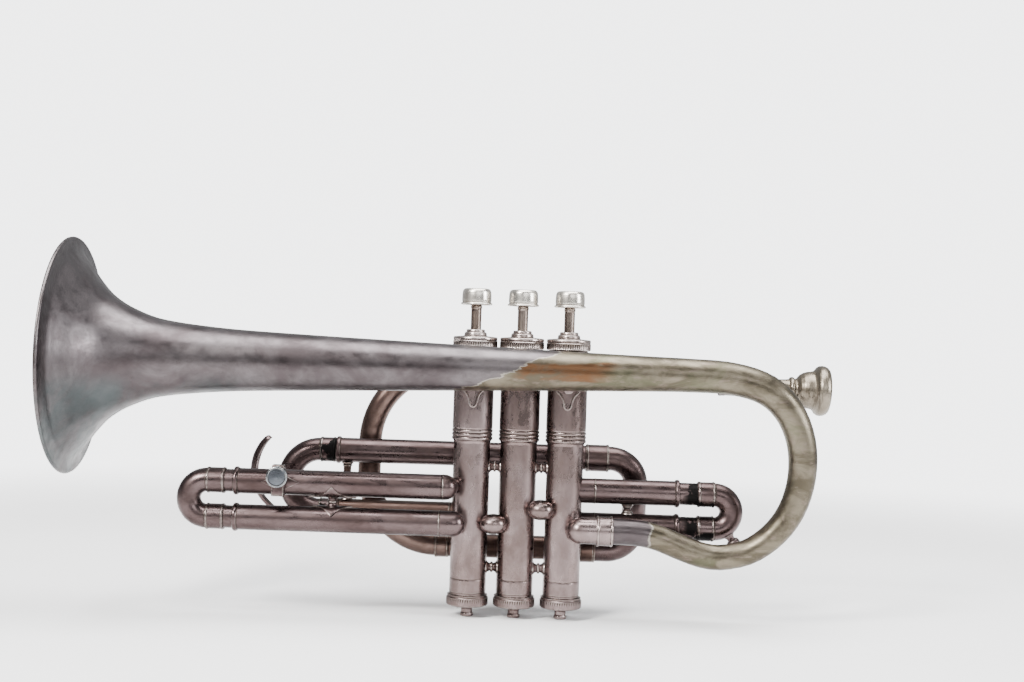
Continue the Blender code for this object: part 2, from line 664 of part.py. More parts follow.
def build_water_key(pivot, centre, reach):
    """Lever that rocks between the two posts: a curved touch plate and a cork cup."""
    y = MAIN_Y
    hub = rod("water_key", (pivot.x, y - 2.3, pivot.z), (pivot.x, y + 2.3, pivot.z), 2.0, 12)
    bm = bmesh.new()
    spine = [(pivot.x, pivot.z)] + KEY_TOUCH
    widths = [1.7, 1.9, 2.4, 3.4, 4.2, 4.3, 3.6, 2.0]
    rings = []
    for i, (x, z) in enumerate(spine):
        ahead = Vector(spine[min(i + 1, len(spine) - 1)])
        behind = Vector(spine[max(i - 1, 0)])
        along = (ahead - behind).normalized()
        out = Vector((along.y, -along.x)) * 0.7
        w = widths[i]
        corners = [(x - out.x, y - w, z - out.y), (x - out.x, y + w, z - out.y),
                   (x + out.x, y + w, z + out.y), (x + out.x, y - w, z + out.y)]
        rings.append([bm.verts.new(c) for c in corners])
    skin(bm, rings, closed=False)
    bm.faces.new(rings[0])
    bm.faces.new(rings[-1])
    touch = finish("touch", bm, None)
    aim = Vector((cos(KEY_NIPPLE_ANGLE), 0.0, sin(KEY_NIPPLE_ANGLE)))
    seat = centre + aim * (reach + 0.9 + GAP)
    cup = turned("cup", [(0.0, 2.2), (2.9, 2.2), (2.9, 1.2), (3.5, 1.0), (3.5, 3.6), (0.0, 3.6)], seat, aim,
                 sides=12)
    arm_end = seat + aim * 2.9
    arm = rod("arm", (pivot.x, y, pivot.z), tuple(arm_end), 1.3, 8)
    join(hub, touch, arm, cup)
    cut(hub, rod("pin_room", (pivot.x, y - 6.0, pivot.z), (pivot.x, y + 6.0, pivot.z), 0.95, 8))
    cut(hub, turned("bow_room", [(0.0, 0.0), (3.2, 0.0), (3.2, 2.1), (0.0, 2.1)], seat - aim * 0.2, aim, sides=12))
    settle(hub, "tarnished_silver", pivot)
    turned("water_key_cork", [(0.0, 0.0), (2.6, 0.0), (2.6, 1.6), (0.0, 1.6)], seat, aim, "cork", 12)
    rod("water_key_pin", (pivot.x, y - 4.6, pivot.z), (pivot.x, y + 4.6, pivot.z), 0.65, 8,
        "bright_silver")


# ---------------------------------------------------------------- mouthpipe side
def lead_point(x):
    """Point on the leadpipe's axis at a given x."""
    return Vector((x, LEAD_Y, LEAD_REF[1] + (LEAD_REF[0] - x) * sin(LEAD_TILT) / cos(LEAD_TILT)))


LEAD_AXIS = Vector((cos(LEAD_TILT), 0.0, -sin(LEAD_TILT)))


def on_lead_axis(name, outline, look, sides):
    """Turn an outline of (radius, x) points about the leadpipe's axis."""
    base = lead_point(0.0)
    scaled = [(r, x / cos(LEAD_TILT)) for r, x in outline]
    return turned(name, scaled, base, LEAD_AXIS, look, sides, tuple(lead_point(outline[0][1])))


def build_mouthpipe():
    outer = [
        (4.35, 108.5), (4.75, 137.0), (5.0, 143.0), (6.4, 145.0), (6.4, 146.6), (5.8, 147.4),
        (8.2, 149.0), (9.8, 152.6), (10.2, 155.6), (12.9, 157.9), (13.45, 160.5), (12.6, 163.4),
        (11.0, 164.3), (9.4, 163.6)]
    inner = [(8.4, 161.0), (7.4, 155.0), (4.4, 150.0), (1.9, 146.5), (2.3, 138.0), (3.5, 108.5)]
    on_lead_axis("mouthpiece", outer + inner, "bright_silver", 16)
    a, b = RECEIVER_X
    on_lead_axis("mouthpiece_receiver", [
        (6.2, a), (6.2, a + 3.0), (5.75, a + 3.6), (5.75, b - 7.0), (6.4, b - 6.2), (6.4, b),
        (5.1, b), (4.75, 108.2), (5.0, 107.6), (5.0, a)],
        "tarnished_silver", 16)
    on_lead_axis("leadpipe", [
        (3.9, 107.0), (4.6, 107.0), (4.7, 100.0), (5.6, -20.0), (5.7, -28.0), (6.9, -28.5),
        (6.9, -36.0), (6.3, -36.0), (6.3, -31.8), (5.2, -31.6), (5.0, -20.0)],
        "tarnished_silver", SIDES)
    corner = lead_point(FRONT_BOW_X)
    low = (FRONT_BOW_X, RETURN_Y, RETURN_Z)
    path = rounded_path([lead_point(-32.2), corner, low, (-38.5, RETURN_Y, RETURN_Z)], FRONT_BOW_BEND, 18.0)
    swept("front_bow", path, 6.0, 5.4, "tarnished_silver", SIDES)
    ends = (-43.0, 42.5)
    turned("return_tube", [
        (6.9, ends[0]), (6.9, ends[0] + 7.0), (JOINT_R, ends[0] + 7.6),
        (JOINT_R, ends[1] - 9.0), (7.1, ends[1] - 8.4), (7.1, ends[1]),
        (JOINT_R + GAP, ends[1]), (JOINT_R + GAP, ends[1] - 4.0), (5.7, ends[1] - 4.1),
        (5.7, ends[0] + 4.8), (6.3, ends[0] + 4.7), (6.3, ends[0])],
        (0.0, RETURN_Y, RETURN_Z), (1.0, 0.0, 0.0), "tarnished_silver", SIDES,
        (0.0, RETURN_Y, RETURN_Z))
    corners = [(43.6, MAIN_Y, MAIN_Z[0]), (REAR_BOW_X, MAIN_Y, MAIN_Z[0]),
               (REAR_BOW_X, RETURN_Y, RETURN_Z), (38.9, RETURN_Y, RETURN_Z)]
    path = rounded_path(corners, (REAR_BOW_BEND, REAR_BOW_BEND), 22.5)
    swept("rear_bow", path, JOINT_R, 5.7, "tarnished_silver", SIDES)
    for number, x in ((1, VALVE_PITCH), (3, -VALVE_PITCH)):
        axis_point = lead_point(x)
        z = axis_point.z
        spool_between("leadpipe_brace_%d" % number, (x, 8.0, z), (x, LEAD_Y - 3.0, z), 2.8, [
            ((x, 0.0, z - 10.0), (x, 0.0, z + 9.0), UPPER_R + GAP),
            (tuple(lead_point(x - 12.0)), tuple(lead_point(x + 12.0)), 6.0)])


# ---------------------------------------------------------------- bell
def smooth_curve(knots, per_span):
    """Centripetal-free cubic through the knots, a few points in each span."""
    pts = [Vector(k) for k in knots]
    pts = [pts[0] * 2.0 - pts[1]] + pts + [pts[-1] * 2.0 - pts[-2]]
    out = []
    for i in range(1, len(pts) - 2):
        p0, p1, p2, p3 = pts[i - 1:i + 3]
        for k in range(per_span):
            t = k / per_span
            out.append(0.5 * (2.0 * p1 + (p2 - p0) * t + (2.0 * p0 - 5.0 * p1 + 4.0 * p2 - p3) * t * t
                              + (3.0 * p1 - p0 - 3.0 * p2 + p3) * t * t * t))
    out.append(pts[-2])
    return out


def bell_radius(s):
    """Outer radius at a distance from the rim, by a monotone cubic through BELL_TAPER."""
    knots = BELL_TAPER
    if s <= knots[0][0]:
        return knots[0][1] / 2.0
    if s >= knots[-1][0]:
        return knots[-1][1] / 2.0
    slopes = [(b[1] - a[1]) / (b[0] - a[0]) for a, b in zip(knots, knots[1:])]
    tangents = [slopes[0]]
    for m0, m1 in zip(slopes, slopes[1:]):
        tangents.append(2.0 * m0 * m1 / (m0 + m1) if m0 * m1 > 0.0 else 0.0)
    tangents.append(slopes[-1])
    i = max(k for k in range(len(knots) - 1) if knots[k][0] <= s)
    (a, fa), (b, fb) = knots[i], knots[i + 1]
    h = b - a
    t = (s - a) / h
    value = ((1 + 2 * t) * (1 - t) ** 2 * fa + t * (1 - t) ** 2 * h * tangents[i]
             + t * t * (3 - 2 * t) * fb + t * t * (t - 1) * h * tangents[i + 1])
    return value / 2.0


def build_bell():
    marks = [3.2, 5.5, 8.5, 12.5, 17.5, 24.5, 34.0, 48.0, 68.0, 100.0, 150.0, 225.0]
    path = [Vector((BELL_RIM_X + s, BELL_Y, BELL_Z)) for s in marks]
    path += smooth_curve(BELL_LOOP, 1)
    outer = []
    travelled = marks[0]
    for i, p in enumerate(path):
        travelled += (p - path[i - 1]).length if i else 0.0
        outer.append(bell_radius(travelled))
    inner = [r - BELL_WALL for r in outer]
    # the rolled rim: a bead whose front has a narrow flat ring
    rim = [(0.0, 58.4), (0.9, 59.0), (2.0, 58.2)]
    path = [Vector((BELL_RIM_X + d, BELL_Y, BELL_Z)) for d, r in rim] + path
    outer = [r for d, r in rim] + outer
    inner = [57.1, 0.0, 55.6] + inner
    swept("bell", path, outer, inner, "worn_bell", BELL_SIDES, (BELL_RIM_X, BELL_Y, BELL_Z))
    z = BELL_LOOP[-1][2]
    y = BELL_TAIL_Y
    ring = [(6.9, 40.4), (7.7, 40.4), (7.7, 41.6), (7.35, 42.0), (7.35, 46.9), (7.7, 47.3), (7.7, 48.7), (6.9, 48.7)]
    turned("bell_ferrule", ring, (0.0, y, z), (1.0, 0.0, 0.0), "tarnished_silver", BELL_SIDES,
           (44.5, y, z))
    start, ball = 44.5, 32.2
    quarter = [radians(t) for t in (0.0, 28.0, 56.0, 90.0)]
    length = start - ball
    r, b = 6.6, 5.8
    solid = [(0.0, 0.0), (r, 0.0)] + [(r * cos(t), length + r * sin(t)) for t in quarter]
    bore = [(0.0, -1.0), (b, -1.0)] + [(b * cos(t), length + b * sin(t)) for t in quarter]
    ob = turned("bell_knuckle", solid, (start, y, z), (-1.0, 0.0, 0.0), sides=BELL_SIDES)
    heart, port = Vector((ball, y, z)), Vector((VALVE_PITCH, 0.0, z))
    aim = (port - heart).normalized()
    join(ob, rod("stub", heart + aim * 0.37, port - aim * 3.1, 5.7, spin=0.15))
    hollow = turned("bore", bore, (start, y, z), (-1.0, 0.0, 0.0), sides=BELL_SIDES)
    join(hollow, rod("stub_bore", heart + aim * 0.23, port, 4.7, spin=0.19))
    first = rod("first_slide_room", (20.0, FIRST_Y, FIRST_Z[1]), (60.0, FIRST_Y, FIRST_Z[1]), TUBE_R + GAP)
    cut(ob, casing_space(VALVE_PITCH), first, hollow)
    settle(ob, "tarnished_silver", (start, y, z))
    for number, x in ((3, -VALVE_PITCH), (1, VALVE_PITCH)):
        build_bell_brace(number, x)


def build_bell_brace(number, x):
    """Pointed leaf on a casing's front with a short pillar up to the bell tube."""
    s = x - BELL_RIM_X
    outline = [
        (x - 5.9, 121.5), (x - 5.4, 116.6), (x - 2.9, 113.2), (x - 1.9, 109.6), (x, 107.6),
        (x + 1.9, 109.6), (x + 2.9, 113.2), (x + 5.4, 116.6), (x + 5.9, 121.5)]
    ob = prism("bell_brace_%d" % number, outline, (-14.0, -6.0))
    shell = [(UPPER_R + GAP, 104.0), (UPPER_R + 1.1, 104.0), (UPPER_R + 1.1, 124.0), (UPPER_R + GAP, 124.0)]
    keep(ob, turned("shell", shell, (x, 0.0, 0.0), (0.0, 0.0, 1.0), sides=ROUND))
    join(ob, rod("pillar", (x, -10.9, 118.8), (x, -20.0, 118.8), 2.4, 12))
    cut(ob, rod("bell_room", (x - 12.0, BELL_Y, BELL_Z), (x + 12.0, BELL_Y, BELL_Z),
                bell_radius(s - 8.0) + GAP, 20))
    settle(ob, "tarnished_silver", (x, -11.0, 116.0))


# ---------------------------------------------------------------- lyre socket
def build_lyre():
    w, d = LYRE_SIZE
    hw, hd = LYRE_HOLE
    low, high = LYRE_Z
    ob = block("lyre_box", (LYRE_X - w / 2, LYRE_Y - d / 2, low), (LYRE_X + w / 2, LYRE_Y + d / 2, high))
    z = THIRD_Z[0]
    outline = [(-127.0, z - 1.2), (-119.2, z - 4.6), (-110.6, z - 1.2), (-109.4, z + 0.6),
               (-110.6, z + 2.4), (-119.2, z + 5.4), (-127.0, z + 2.4), (-128.2, z + 0.6)]
    plate = prism("plate", outline, (THIRD_Y - 9.0, THIRD_Y))
    reach = abs(LYRE_Y + d / 2 - THIRD_Y)
    shell = [(TUBE_R + GAP, 0.0), (reach + 0.25, 0.0), (reach + 0.25, 22.0), (TUBE_R + GAP, 22.0)]
    keep(plate, turned("shell", shell, (-130.0, THIRD_Y, z), (1.0, 0.0, 0.0), sides=SIDES))
    join(ob, plate)
    cut(ob, block("socket", (LYRE_X - hw / 2, LYRE_Y - hd / 2, low - 2), (LYRE_X + hw / 2, LYRE_Y + hd / 2, high + 2)))
    front = LYRE_Y - d / 2
    cut(ob, rod("screw_hole", (LYRE_X, front - 2, LYRE_SCREW_Z), (LYRE_X, LYRE_Y, LYRE_SCREW_Z), 1.7, 10))
    settle(ob, "tarnished_silver", (LYRE_X, LYRE_Y, (low + high) / 2.0))
    r = LYRE_SCREW_R
    outline = [
        (0.0, -0.65), (1.4, -0.65), (1.4, 0.8), (2.2, 0.8), (2.2, 1.6), (r - 0.6, 1.6), (r, 2.2),
        (r, 3.6), (r - 0.7, 4.3), (0.0, 4.5)]
    turned("lyre_screw", outline, (LYRE_X, front, LYRE_SCREW_Z), (0.0, -1.0, 0.0), "bright_silver", 16)


build_valves()
build_casing_links()
build_third_slide()
build_first_slide()
build_second_slide()
build_main_slide()
build_mouthpipe()
build_bell()
build_lyre()
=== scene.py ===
import json
from math import asin, cos, pi, radians, sin, sqrt

import bmesh
import bpy
import numpy as np
from mathutils import Matrix, Vector


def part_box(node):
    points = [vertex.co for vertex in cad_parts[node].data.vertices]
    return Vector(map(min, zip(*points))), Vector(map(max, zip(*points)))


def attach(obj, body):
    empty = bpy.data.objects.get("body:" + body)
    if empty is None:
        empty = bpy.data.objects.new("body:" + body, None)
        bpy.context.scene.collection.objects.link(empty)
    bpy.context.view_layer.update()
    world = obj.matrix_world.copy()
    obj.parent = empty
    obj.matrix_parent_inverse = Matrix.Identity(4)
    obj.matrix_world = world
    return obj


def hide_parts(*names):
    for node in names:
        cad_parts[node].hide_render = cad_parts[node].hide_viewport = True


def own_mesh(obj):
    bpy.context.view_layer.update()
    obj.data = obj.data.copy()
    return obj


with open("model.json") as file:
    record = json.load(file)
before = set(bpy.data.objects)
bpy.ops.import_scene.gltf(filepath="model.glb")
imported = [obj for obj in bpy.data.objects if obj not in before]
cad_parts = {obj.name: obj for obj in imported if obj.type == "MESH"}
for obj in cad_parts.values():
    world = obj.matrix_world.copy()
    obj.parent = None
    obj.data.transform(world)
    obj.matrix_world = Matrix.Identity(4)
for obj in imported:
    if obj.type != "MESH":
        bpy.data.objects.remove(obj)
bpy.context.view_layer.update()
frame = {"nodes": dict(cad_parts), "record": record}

MM = 0.001
NODES = frame["nodes"]
BODY_OF = {node: body for body,
    members in frame["record"]["behaviour"]["bodies"].items() for node in members}
SLOT_OF = {row["node"]: row["material_slot"] for row in frame["record"]["subparts"]}
ALONG, ACROSS, UP = (1.0, 0.0, 0.0), (0.0, 1.0, 0.0), (0.0, 0.0, 1.0)
TINY = 1e-6

# ---------------- sizes, in millimetres
# valve casing below and above its beads, and inside
CASING_R, UPPER_R, BORE_R = 9.4, 10.1, 8.5
BEAD_Z, CASING_BEADS = 90.4, (91.4, 93.3, 95.2)
CAP_R, TOP_CAP_R, FOOT_R, STEM_R, BUTTON_R = 10.75, 11.4, 3.35, 2.7, 8.1
SPRING_R, WIRE_R, SPRING_TURNS, VALVE_STROKE = 5.45, 0.5, 6, 12.0
# outer slide tube outside and inside, the slide's leg, bow and ferrule, and the slide's bore
TUBE_R, SLEEVE_R, LEG_R, BOW_R, FERRULE_R, BORE = 6.4, 5.9, 5.7, 6.0, 6.45, 5.2
JOINT_R, KNUCKLE_R, STUB_R = 6.3, 6.6, 4.1
END_WALL, NEAR_AXIS = 0.9, 0.05
# a stub stops this far short of a casing's axis
STUB_STOP = 8.8
CROSSOVER_Y, CROSSOVER_HALF = -8.4, (6.9, 6.4, 5.2)
# where each slide's ferrules start and its bow starts, and how far its legs go in
THIRD_BOW, FIRST_BOW = (-147.3, -156.5), (92.7, 101.5)
SECOND_BOW, MAIN_BOW = (26.0, 30.5), (-95.6, -103.6)
THIRD_LEG, FIRST_LEG, SECOND_LEG, MAIN_LEG = 62.0, 38.0, 13.0, 50.0
FIRST_BRACE_X, MAIN_BRACE_X = 56.8, -89.4
LEAD_TILT = radians(1.9)
LEAD_REF = (160.0, 120.5)
FRONT_BOW_BEND = (41.6, 37.0)
REAR_BOW_BEND = 14.0
BELL_WALL = 0.8
# (distance from the rim's face, radius) round the rolled rim
BELL_RIM = [(0.0, 58.1), (0.15, 58.6), (0.55, 58.95), (1.05, 59.0), (1.6, 58.75), (1.95, 58.2),
    (2.0, 57.5), (2.15, 56.6)]
# (distance from the rim, diameter)
BELL_TAPER = [(1.0, 114.5), (3.5, 103.0), (8.5, 89.0), (13.5, 76.3), (20.5, 62.0), (30.5, 49.7),
    (45.5, 39.1), (65.5, 33.8), (85.0, 30.8), (115.0, 28.3), (164.5, 24.9), (263.5, 19.0),
    (305.5, 17.0), (329.5, 16.4), (388.0, 14.5), (460.0, 12.8), (540.0, 13.2)]
# centre line after the flare
BELL_LOOP = [(80.0, -23.0, 127.5), (104.0, -23.0, 126.6), (122.0, -22.7, 121.8),
    (134.0, -21.9, 111.5), (141.0, -20.6, 96.0), (142.2, -19.2, 78.5), (138.2, -17.8, 62.0),
    (130.0, -16.6, 49.3), (118.0, -15.4, 39.9), (105.0, -14.5, 36.2), (95.0, -14.1, 36.6),
    (84.0, -14.0, 40.1), (71.0, -14.0, 45.0), (60.0, -14.0, 47.0), (44.9, -14.0, 47.2)]
KEY_PIVOT = (-122.4, 17.0, 46.6)
KEY_AIM = radians(-103.0)
KEY_TOUCH = [(-128.6, 51.6), (-133.2, 56.5), (-136.1, 62.6), (-137.0, 69.5), (-136.0, 76.4),
    (-133.4, 82.6), (-129.9, 87.3)]
KNOB_AIM = radians(-56.0)
# half widths of the key's touch plate from the pivot to the tip
KEY_WIDTHS = [1.7, 1.9, 2.4, 3.4, 4.2, 4.3, 3.6, 2.0]
KEY_HALF_THICKNESS, KEY_CROWN = 1.10, 0.50
LYRE_SCREW_Z = 70.7
LYRE_HALF, LYRE_HOLE_HALF, LYRE_DEPTH, LYRE_KNOB_R = (3.1, 2.9), (2.3, 2.2), 5.8, 5.45


def low_high(node):
    """Lowest and highest corner of a CAD node in millimetres."""
    low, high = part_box(node)
    return Vector(low) / MM, Vector(high) / MM


def middle(node):
    low, high = low_high(node)
    return (low + high) / 2.0


def heights(node):
    low, high = low_high(node)
    return low.z, high.z


VALVE_X = {k: middle("piston_%d" % k).x for k in (1, 2, 3)}


# ---------------- node materials
EVEN = (1.0, 1.0, 1.0)
BLACK = (0.006, 0.006, 0.006)
FILM = (0.062, 0.088, 0.090)
BRASS_DARK, BRASS_LIGHT = (0.078, 0.066, 0.047), (0.160, 0.138, 0.102)
BRASS_GREEN, BRASS_PINK = (0.078, 0.081, 0.048), (0.190, 0.148, 0.124)
BRASS_ORANGE = (0.106, 0.055, 0.029)
WORN_EDGE = (0.480, 0.450, 0.390)
BELL_AXIS_Z = 127.5
# how strongly dark seams, rubbed edges and bare patches show
SEAM_AMOUNT, EDGE_AMOUNT, PATCH_AMOUNT = 0.85, 0.42, 0.97
# cells in each millimetre
CORK_CELLS = 1.4


class Value:
    """A node's output that can be multiplied, added to and subtracted from."""

    def __init__(self, nodes, socket):
        self.nodes, self.socket = nodes, socket

    def __mul__(self, other):
        return self.nodes.maths("MULTIPLY", self, other)

    def __add__(self, other):
        return self.nodes.maths("ADD", self, other)

    def __sub__(self, other):
        return self.nodes.maths("SUBTRACT", self, other)


class Nodes:
    """Short hand for building the node tree of a material or a world."""

    def __init__(self, owner):
        owner.use_nodes = True
        self.owner, self.tree = owner, owner.node_tree
        self.place = self.tree.nodes.new("ShaderNodeTexCoord").outputs

    def fill(self, node, inputs):
        """Link or set a node's inputs."""
        for key, value in inputs.items():
            socket = node.inputs[key]
            value = getattr(value, "socket", value)
            if isinstance(value, bpy.types.NodeSocket):
                self.tree.links.new(value, socket)
            elif socket.type == "RGBA":
                socket.default_value = (*value, 1.0)
            else:
                socket.default_value = value
        return node

    def put(self, kind, inputs, output=0, **settings):
        """Add a node and give back one of its outputs."""
        node = self.tree.nodes.new(kind)
        for key, value in settings.items():
            setattr(node, key, value)
        return Value(self, self.fill(node, inputs).outputs[output])

    def maths(self, operation, a, b=0.0, clamp=False):
        return self.put("ShaderNodeMath", {0: a, 1: b}, operation=operation, use_clamp=clamp)

    def noise(self, scale, detail=4.0, rough=0.55, stretch=EVEN, warp=0.0, shift=(0.0, 0.0, 0.0)):
        """Noise over the piece; scale is in features per millimetre."""
        at = self.put("ShaderNodeMapping", {"Vector": self.place["Object"], "Location": shift,
            "Scale": [s * scale / MM for s in stretch]})
        return self.put("ShaderNodeTexNoise", {"Vector": at, "Scale": 1.0, "Detail": detail,
            "Roughness": rough, "Distortion": warp}, "Fac")

    def ramp(self, value, low, high):
        """0 to 1 with soft ends as the value goes from low to high."""
        return self.put("ShaderNodeMapRange", {"Value": value, "From Min": low, "From Max": high},
            interpolation_type="SMOOTHSTEP")

    def mix(self, amount, a, b):
        return self.put("ShaderNodeMix", {0: amount, 6: a, 7: b}, 2, data_type="RGBA")

    def axis(self, letter):
        """A coordinate over the piece in millimetres."""
        return self.put("ShaderNodeSeparateXYZ", {0: self.place["Object"]}, letter) * (1.0 / MM)

    def attribute(self, name):
        return self.put("ShaderNodeAttribute", {}, "Fac", attribute_name=name)

    def bump(self, height, distance, strength, below=None):
        inputs = {"Height": height, "Distance": distance * MM, "Strength": strength}
        if below:
            inputs["Normal"] = below
        return self.put("ShaderNodeBump", inputs)

    def surface(self, inputs):
        """Fill the material's own shader, and give back the material."""
        self.fill(self.tree.nodes["Principled BSDF"], inputs)
        return self.owner


def tarnished(name, light, mid, dark, rough, stain, shift, grain=EVEN, crust=(0.035, 0.028, 0.022),
              shine=(0.44, 0.40, 0.36), extra=None):
    """Old silver plate: cloudy tones, stains, fine scratches, dark seams and rubbed edges."""
    n = Nodes(bpy.data.materials.new(name))
    off = (shift, shift * 0.7, shift * 1.3)
    cloud = n.noise(0.035, 5.0, 0.6, grain, 0.6, off)
    blotch = n.noise(0.16, 6.0, 0.65, grain, 0.4, off)
    speck = n.noise(0.9, 3.0, 0.6, shift=off)
    dirt = n.noise(0.5, 4.0, 0.6, shift=off)
    flake = n.noise(0.13, 5.0, 0.6, warp=0.6, shift=off)
    scratch = n.noise(1.6, 2.0, 0.5, (0.12, 1.0, 1.0), shift=off)
    dent = n.noise(0.07, 2.0, 0.5, shift=off)
    tone = n.mix(n.ramp(cloud, 0.36, 0.64), mid, light)
    tone = n.mix(n.ramp(blotch, 0.42, 0.80) * stain, tone, dark)
    tone = n.mix(n.ramp(speck, 0.62, 0.78) * 0.35, tone, dark)
    tone = n.mix(n.ramp(speck, 0.34, 0.24) * 0.25, tone, light)
    # "wear" is below 0 in seams and above 0 on edges; "patch" is 1 where the plating is gone
    wear = n.attribute("wear")
    seam = n.ramp(wear, -0.06, -0.30) * n.ramp(dirt, 0.25, 0.55)
    edge = n.ramp(wear, 0.12, 0.40) * n.ramp(dirt, 0.30, 0.60)
    patch = n.attribute("patch") * n.ramp(flake, 0.47, 0.51)
    tone = n.mix(seam * SEAM_AMOUNT, tone, crust)
    tone = n.mix(edge * EDGE_AMOUNT, tone, shine)
    tone = n.mix(patch * PATCH_AMOUNT, tone, BLACK)
    roughness = n.ramp(blotch, 0.35, 0.65) * (rough[1] - rough[0]) + rough[0]
    roughness = n.maths("ADD", roughness, seam * 0.25, clamp=True)
    roughness = n.maths("ADD", roughness, patch * 0.30, clamp=True)
    if extra:
        tone, roughness = extra(n, tone, roughness)
    normal = n.bump(blotch, 0.05, 0.20, n.bump(dent, 0.5, 0.15))
    normal = n.bump(speck + scratch, 0.02, 0.30, normal)
    return n.surface({"Base Color": tone, "Roughness": roughness, "Metallic": 1.0, "Normal": normal})


def bell_wear(n, tone, roughness):
    """The bell's silver is rubbed through to dull brass from the middle valve to the tail."""
    x, z = n.axis("X"), n.axis("Z")
    # a blue-green film low on the flare
    mist = n.noise(0.03, 4.0, 0.6, warp=0.5, shift=(2.0, 6.0, 1.0))
    film = n.ramp(x, -110.0, -150.0) * n.ramp(z, 124.0, 108.0) * n.ramp(mist, 0.38, 0.60)
    tone = n.mix(film * 0.55, tone, FILM)
    # the worn line wanders, and it slants: it is further forward low on the tube
    swing = (n.noise(0.075, 5.0, 0.6, (0.45, 1.0, 1.0), 0.5) - 0.5) * 70.0
    slant = (z - BELL_AXIS_Z) * -2.6
    upper = n.ramp(x + slant + swing * 0.7, -6.0, 0.0)
    lower = n.ramp(x + swing * 0.12, 66.0, 69.0)
    is_low = n.ramp(z, 66.0, 58.0)
    bare = n.maths("ADD", upper * n.maths("SUBTRACT", 1.0, is_low), lower * is_low, clamp=True)
    cloud = n.noise(0.10, 6.0, 0.62, (0.5, 1.0, 1.0), 0.6, (3.0, 1.0, 2.0))
    fine = n.noise(0.45, 5.0, 0.6, (0.35, 1.0, 1.0), 0.3, (1.0, 5.0, 2.0))
    moss = n.noise(0.055, 4.0, 0.6, (0.6, 1.0, 1.0), 0.4, (7.0, 2.0, 4.0))
    brass = n.mix(n.ramp(cloud, 0.36, 0.64), BRASS_DARK, BRASS_LIGHT)
    brass = n.mix(n.ramp(moss, 0.52, 0.64) * 0.55, brass, BRASS_GREEN)
    brass = n.mix(n.ramp(fine, 0.52, 0.72) * 0.55, brass, BRASS_PINK)
    # the orange-brown patch in front of the two rear valves
    span = n.ramp(x + swing * 0.25, -6.0, 2.0) * n.ramp(x + swing * 0.35, 48.0, 34.0)
    band = n.ramp(z + swing * 0.10, 122.5, 123.7) * n.ramp(z + swing * 0.10, 132.3, 130.8)
    patch = span * band * n.ramp(n.axis("Y"), -22.0, -25.0)
    brass = n.mix(patch * n.ramp(cloud, 0.30, 0.50), brass, BRASS_ORANGE)
    tone = n.mix(bare, tone, brass)
    # a thin bright edge of silver along the worn line
    rim = n.ramp(bare, 0.10, 0.45) * n.ramp(bare, 0.90, 0.55)
    tone = n.mix(rim * 0.40, tone, WORN_EDGE)
    return tone, n.maths("ADD", roughness, bare * 0.03, clamp=True)


LOOKS = {
    "casing": dict(light=(0.237, 0.185, 0.180), mid=(0.154, 0.114, 0.107),
        dark=(0.061, 0.039, 0.034), rough=(0.22, 0.38), grain=(1.0, 1.0, 0.6), stain=0.32,
        shift=1.7),
    "tube": dict(light=(0.113, 0.083, 0.082), mid=(0.070, 0.048, 0.047), dark=(0.031, 0.020, 0.017),
        rough=(0.25, 0.42), grain=(0.45, 1.0, 1.0), stain=0.65, shift=5.1),
    "rear_tube": dict(light=(0.136, 0.092, 0.079), mid=(0.077, 0.048, 0.040),
        dark=(0.034, 0.021, 0.016), rough=(0.28, 0.44), grain=(0.45, 1.0, 1.0), stain=0.65,
        shift=9.3),
    "bell": dict(light=(0.126, 0.112, 0.115), mid=(0.067, 0.055, 0.057), dark=(0.038, 0.032, 0.033),
        rough=(0.29, 0.42), grain=(0.7, 1.0, 1.0), stain=0.42, shift=2.9, extra=bell_wear),
    "bright": dict(light=(0.760, 0.720, 0.655), mid=(0.620, 0.575, 0.515),
        dark=(0.300, 0.250, 0.200), rough=(0.24, 0.38), stain=0.45, shift=3.3,
        shine=(0.85, 0.81, 0.75), crust=(0.07, 0.05, 0.035)),
    "mouthpiece": dict(light=(0.282, 0.247, 0.200), mid=(0.192, 0.163, 0.127),
        dark=(0.086, 0.068, 0.048), rough=(0.26, 0.40), stain=0.55, shift=6.1,
        crust=(0.04, 0.03, 0.02), shine=(0.70, 0.65, 0.56)),
    "stem": dict(light=(0.306, 0.252, 0.221), mid=(0.184, 0.140, 0.117), dark=(0.077, 0.050, 0.036),
        rough=(0.26, 0.42), grain=(1.0, 1.0, 0.35), stain=0.6, shift=4.7),
    "nickel": dict(light=(0.620, 0.590, 0.540), mid=(0.540, 0.510, 0.460),
        dark=(0.350, 0.310, 0.260), rough=(0.22, 0.34), stain=0.35, shift=8.3),
    "steel": dict(light=(0.430, 0.430, 0.450), mid=(0.330, 0.330, 0.340),
        dark=(0.160, 0.140, 0.130), rough=(0.30, 0.42), stain=0.5, shift=0.9),
    "cap": dict(light=(0.460, 0.398, 0.374), mid=(0.300, 0.242, 0.224), dark=(0.127, 0.088, 0.077),
        rough=(0.24, 0.38), stain=0.5, shift=7.7, shine=(0.78, 0.74, 0.69)),
    "polished": dict(light=(0.110, 0.120, 0.135), mid=(0.075, 0.082, 0.094),
        dark=(0.045, 0.048, 0.054), rough=(0.20, 0.30), stain=0.3, shift=11.0,
        shine=(0.85, 0.84, 0.80)),
}
MATERIALS = {name: tarnished(name, **facts) for name, facts in LOOKS.items()}


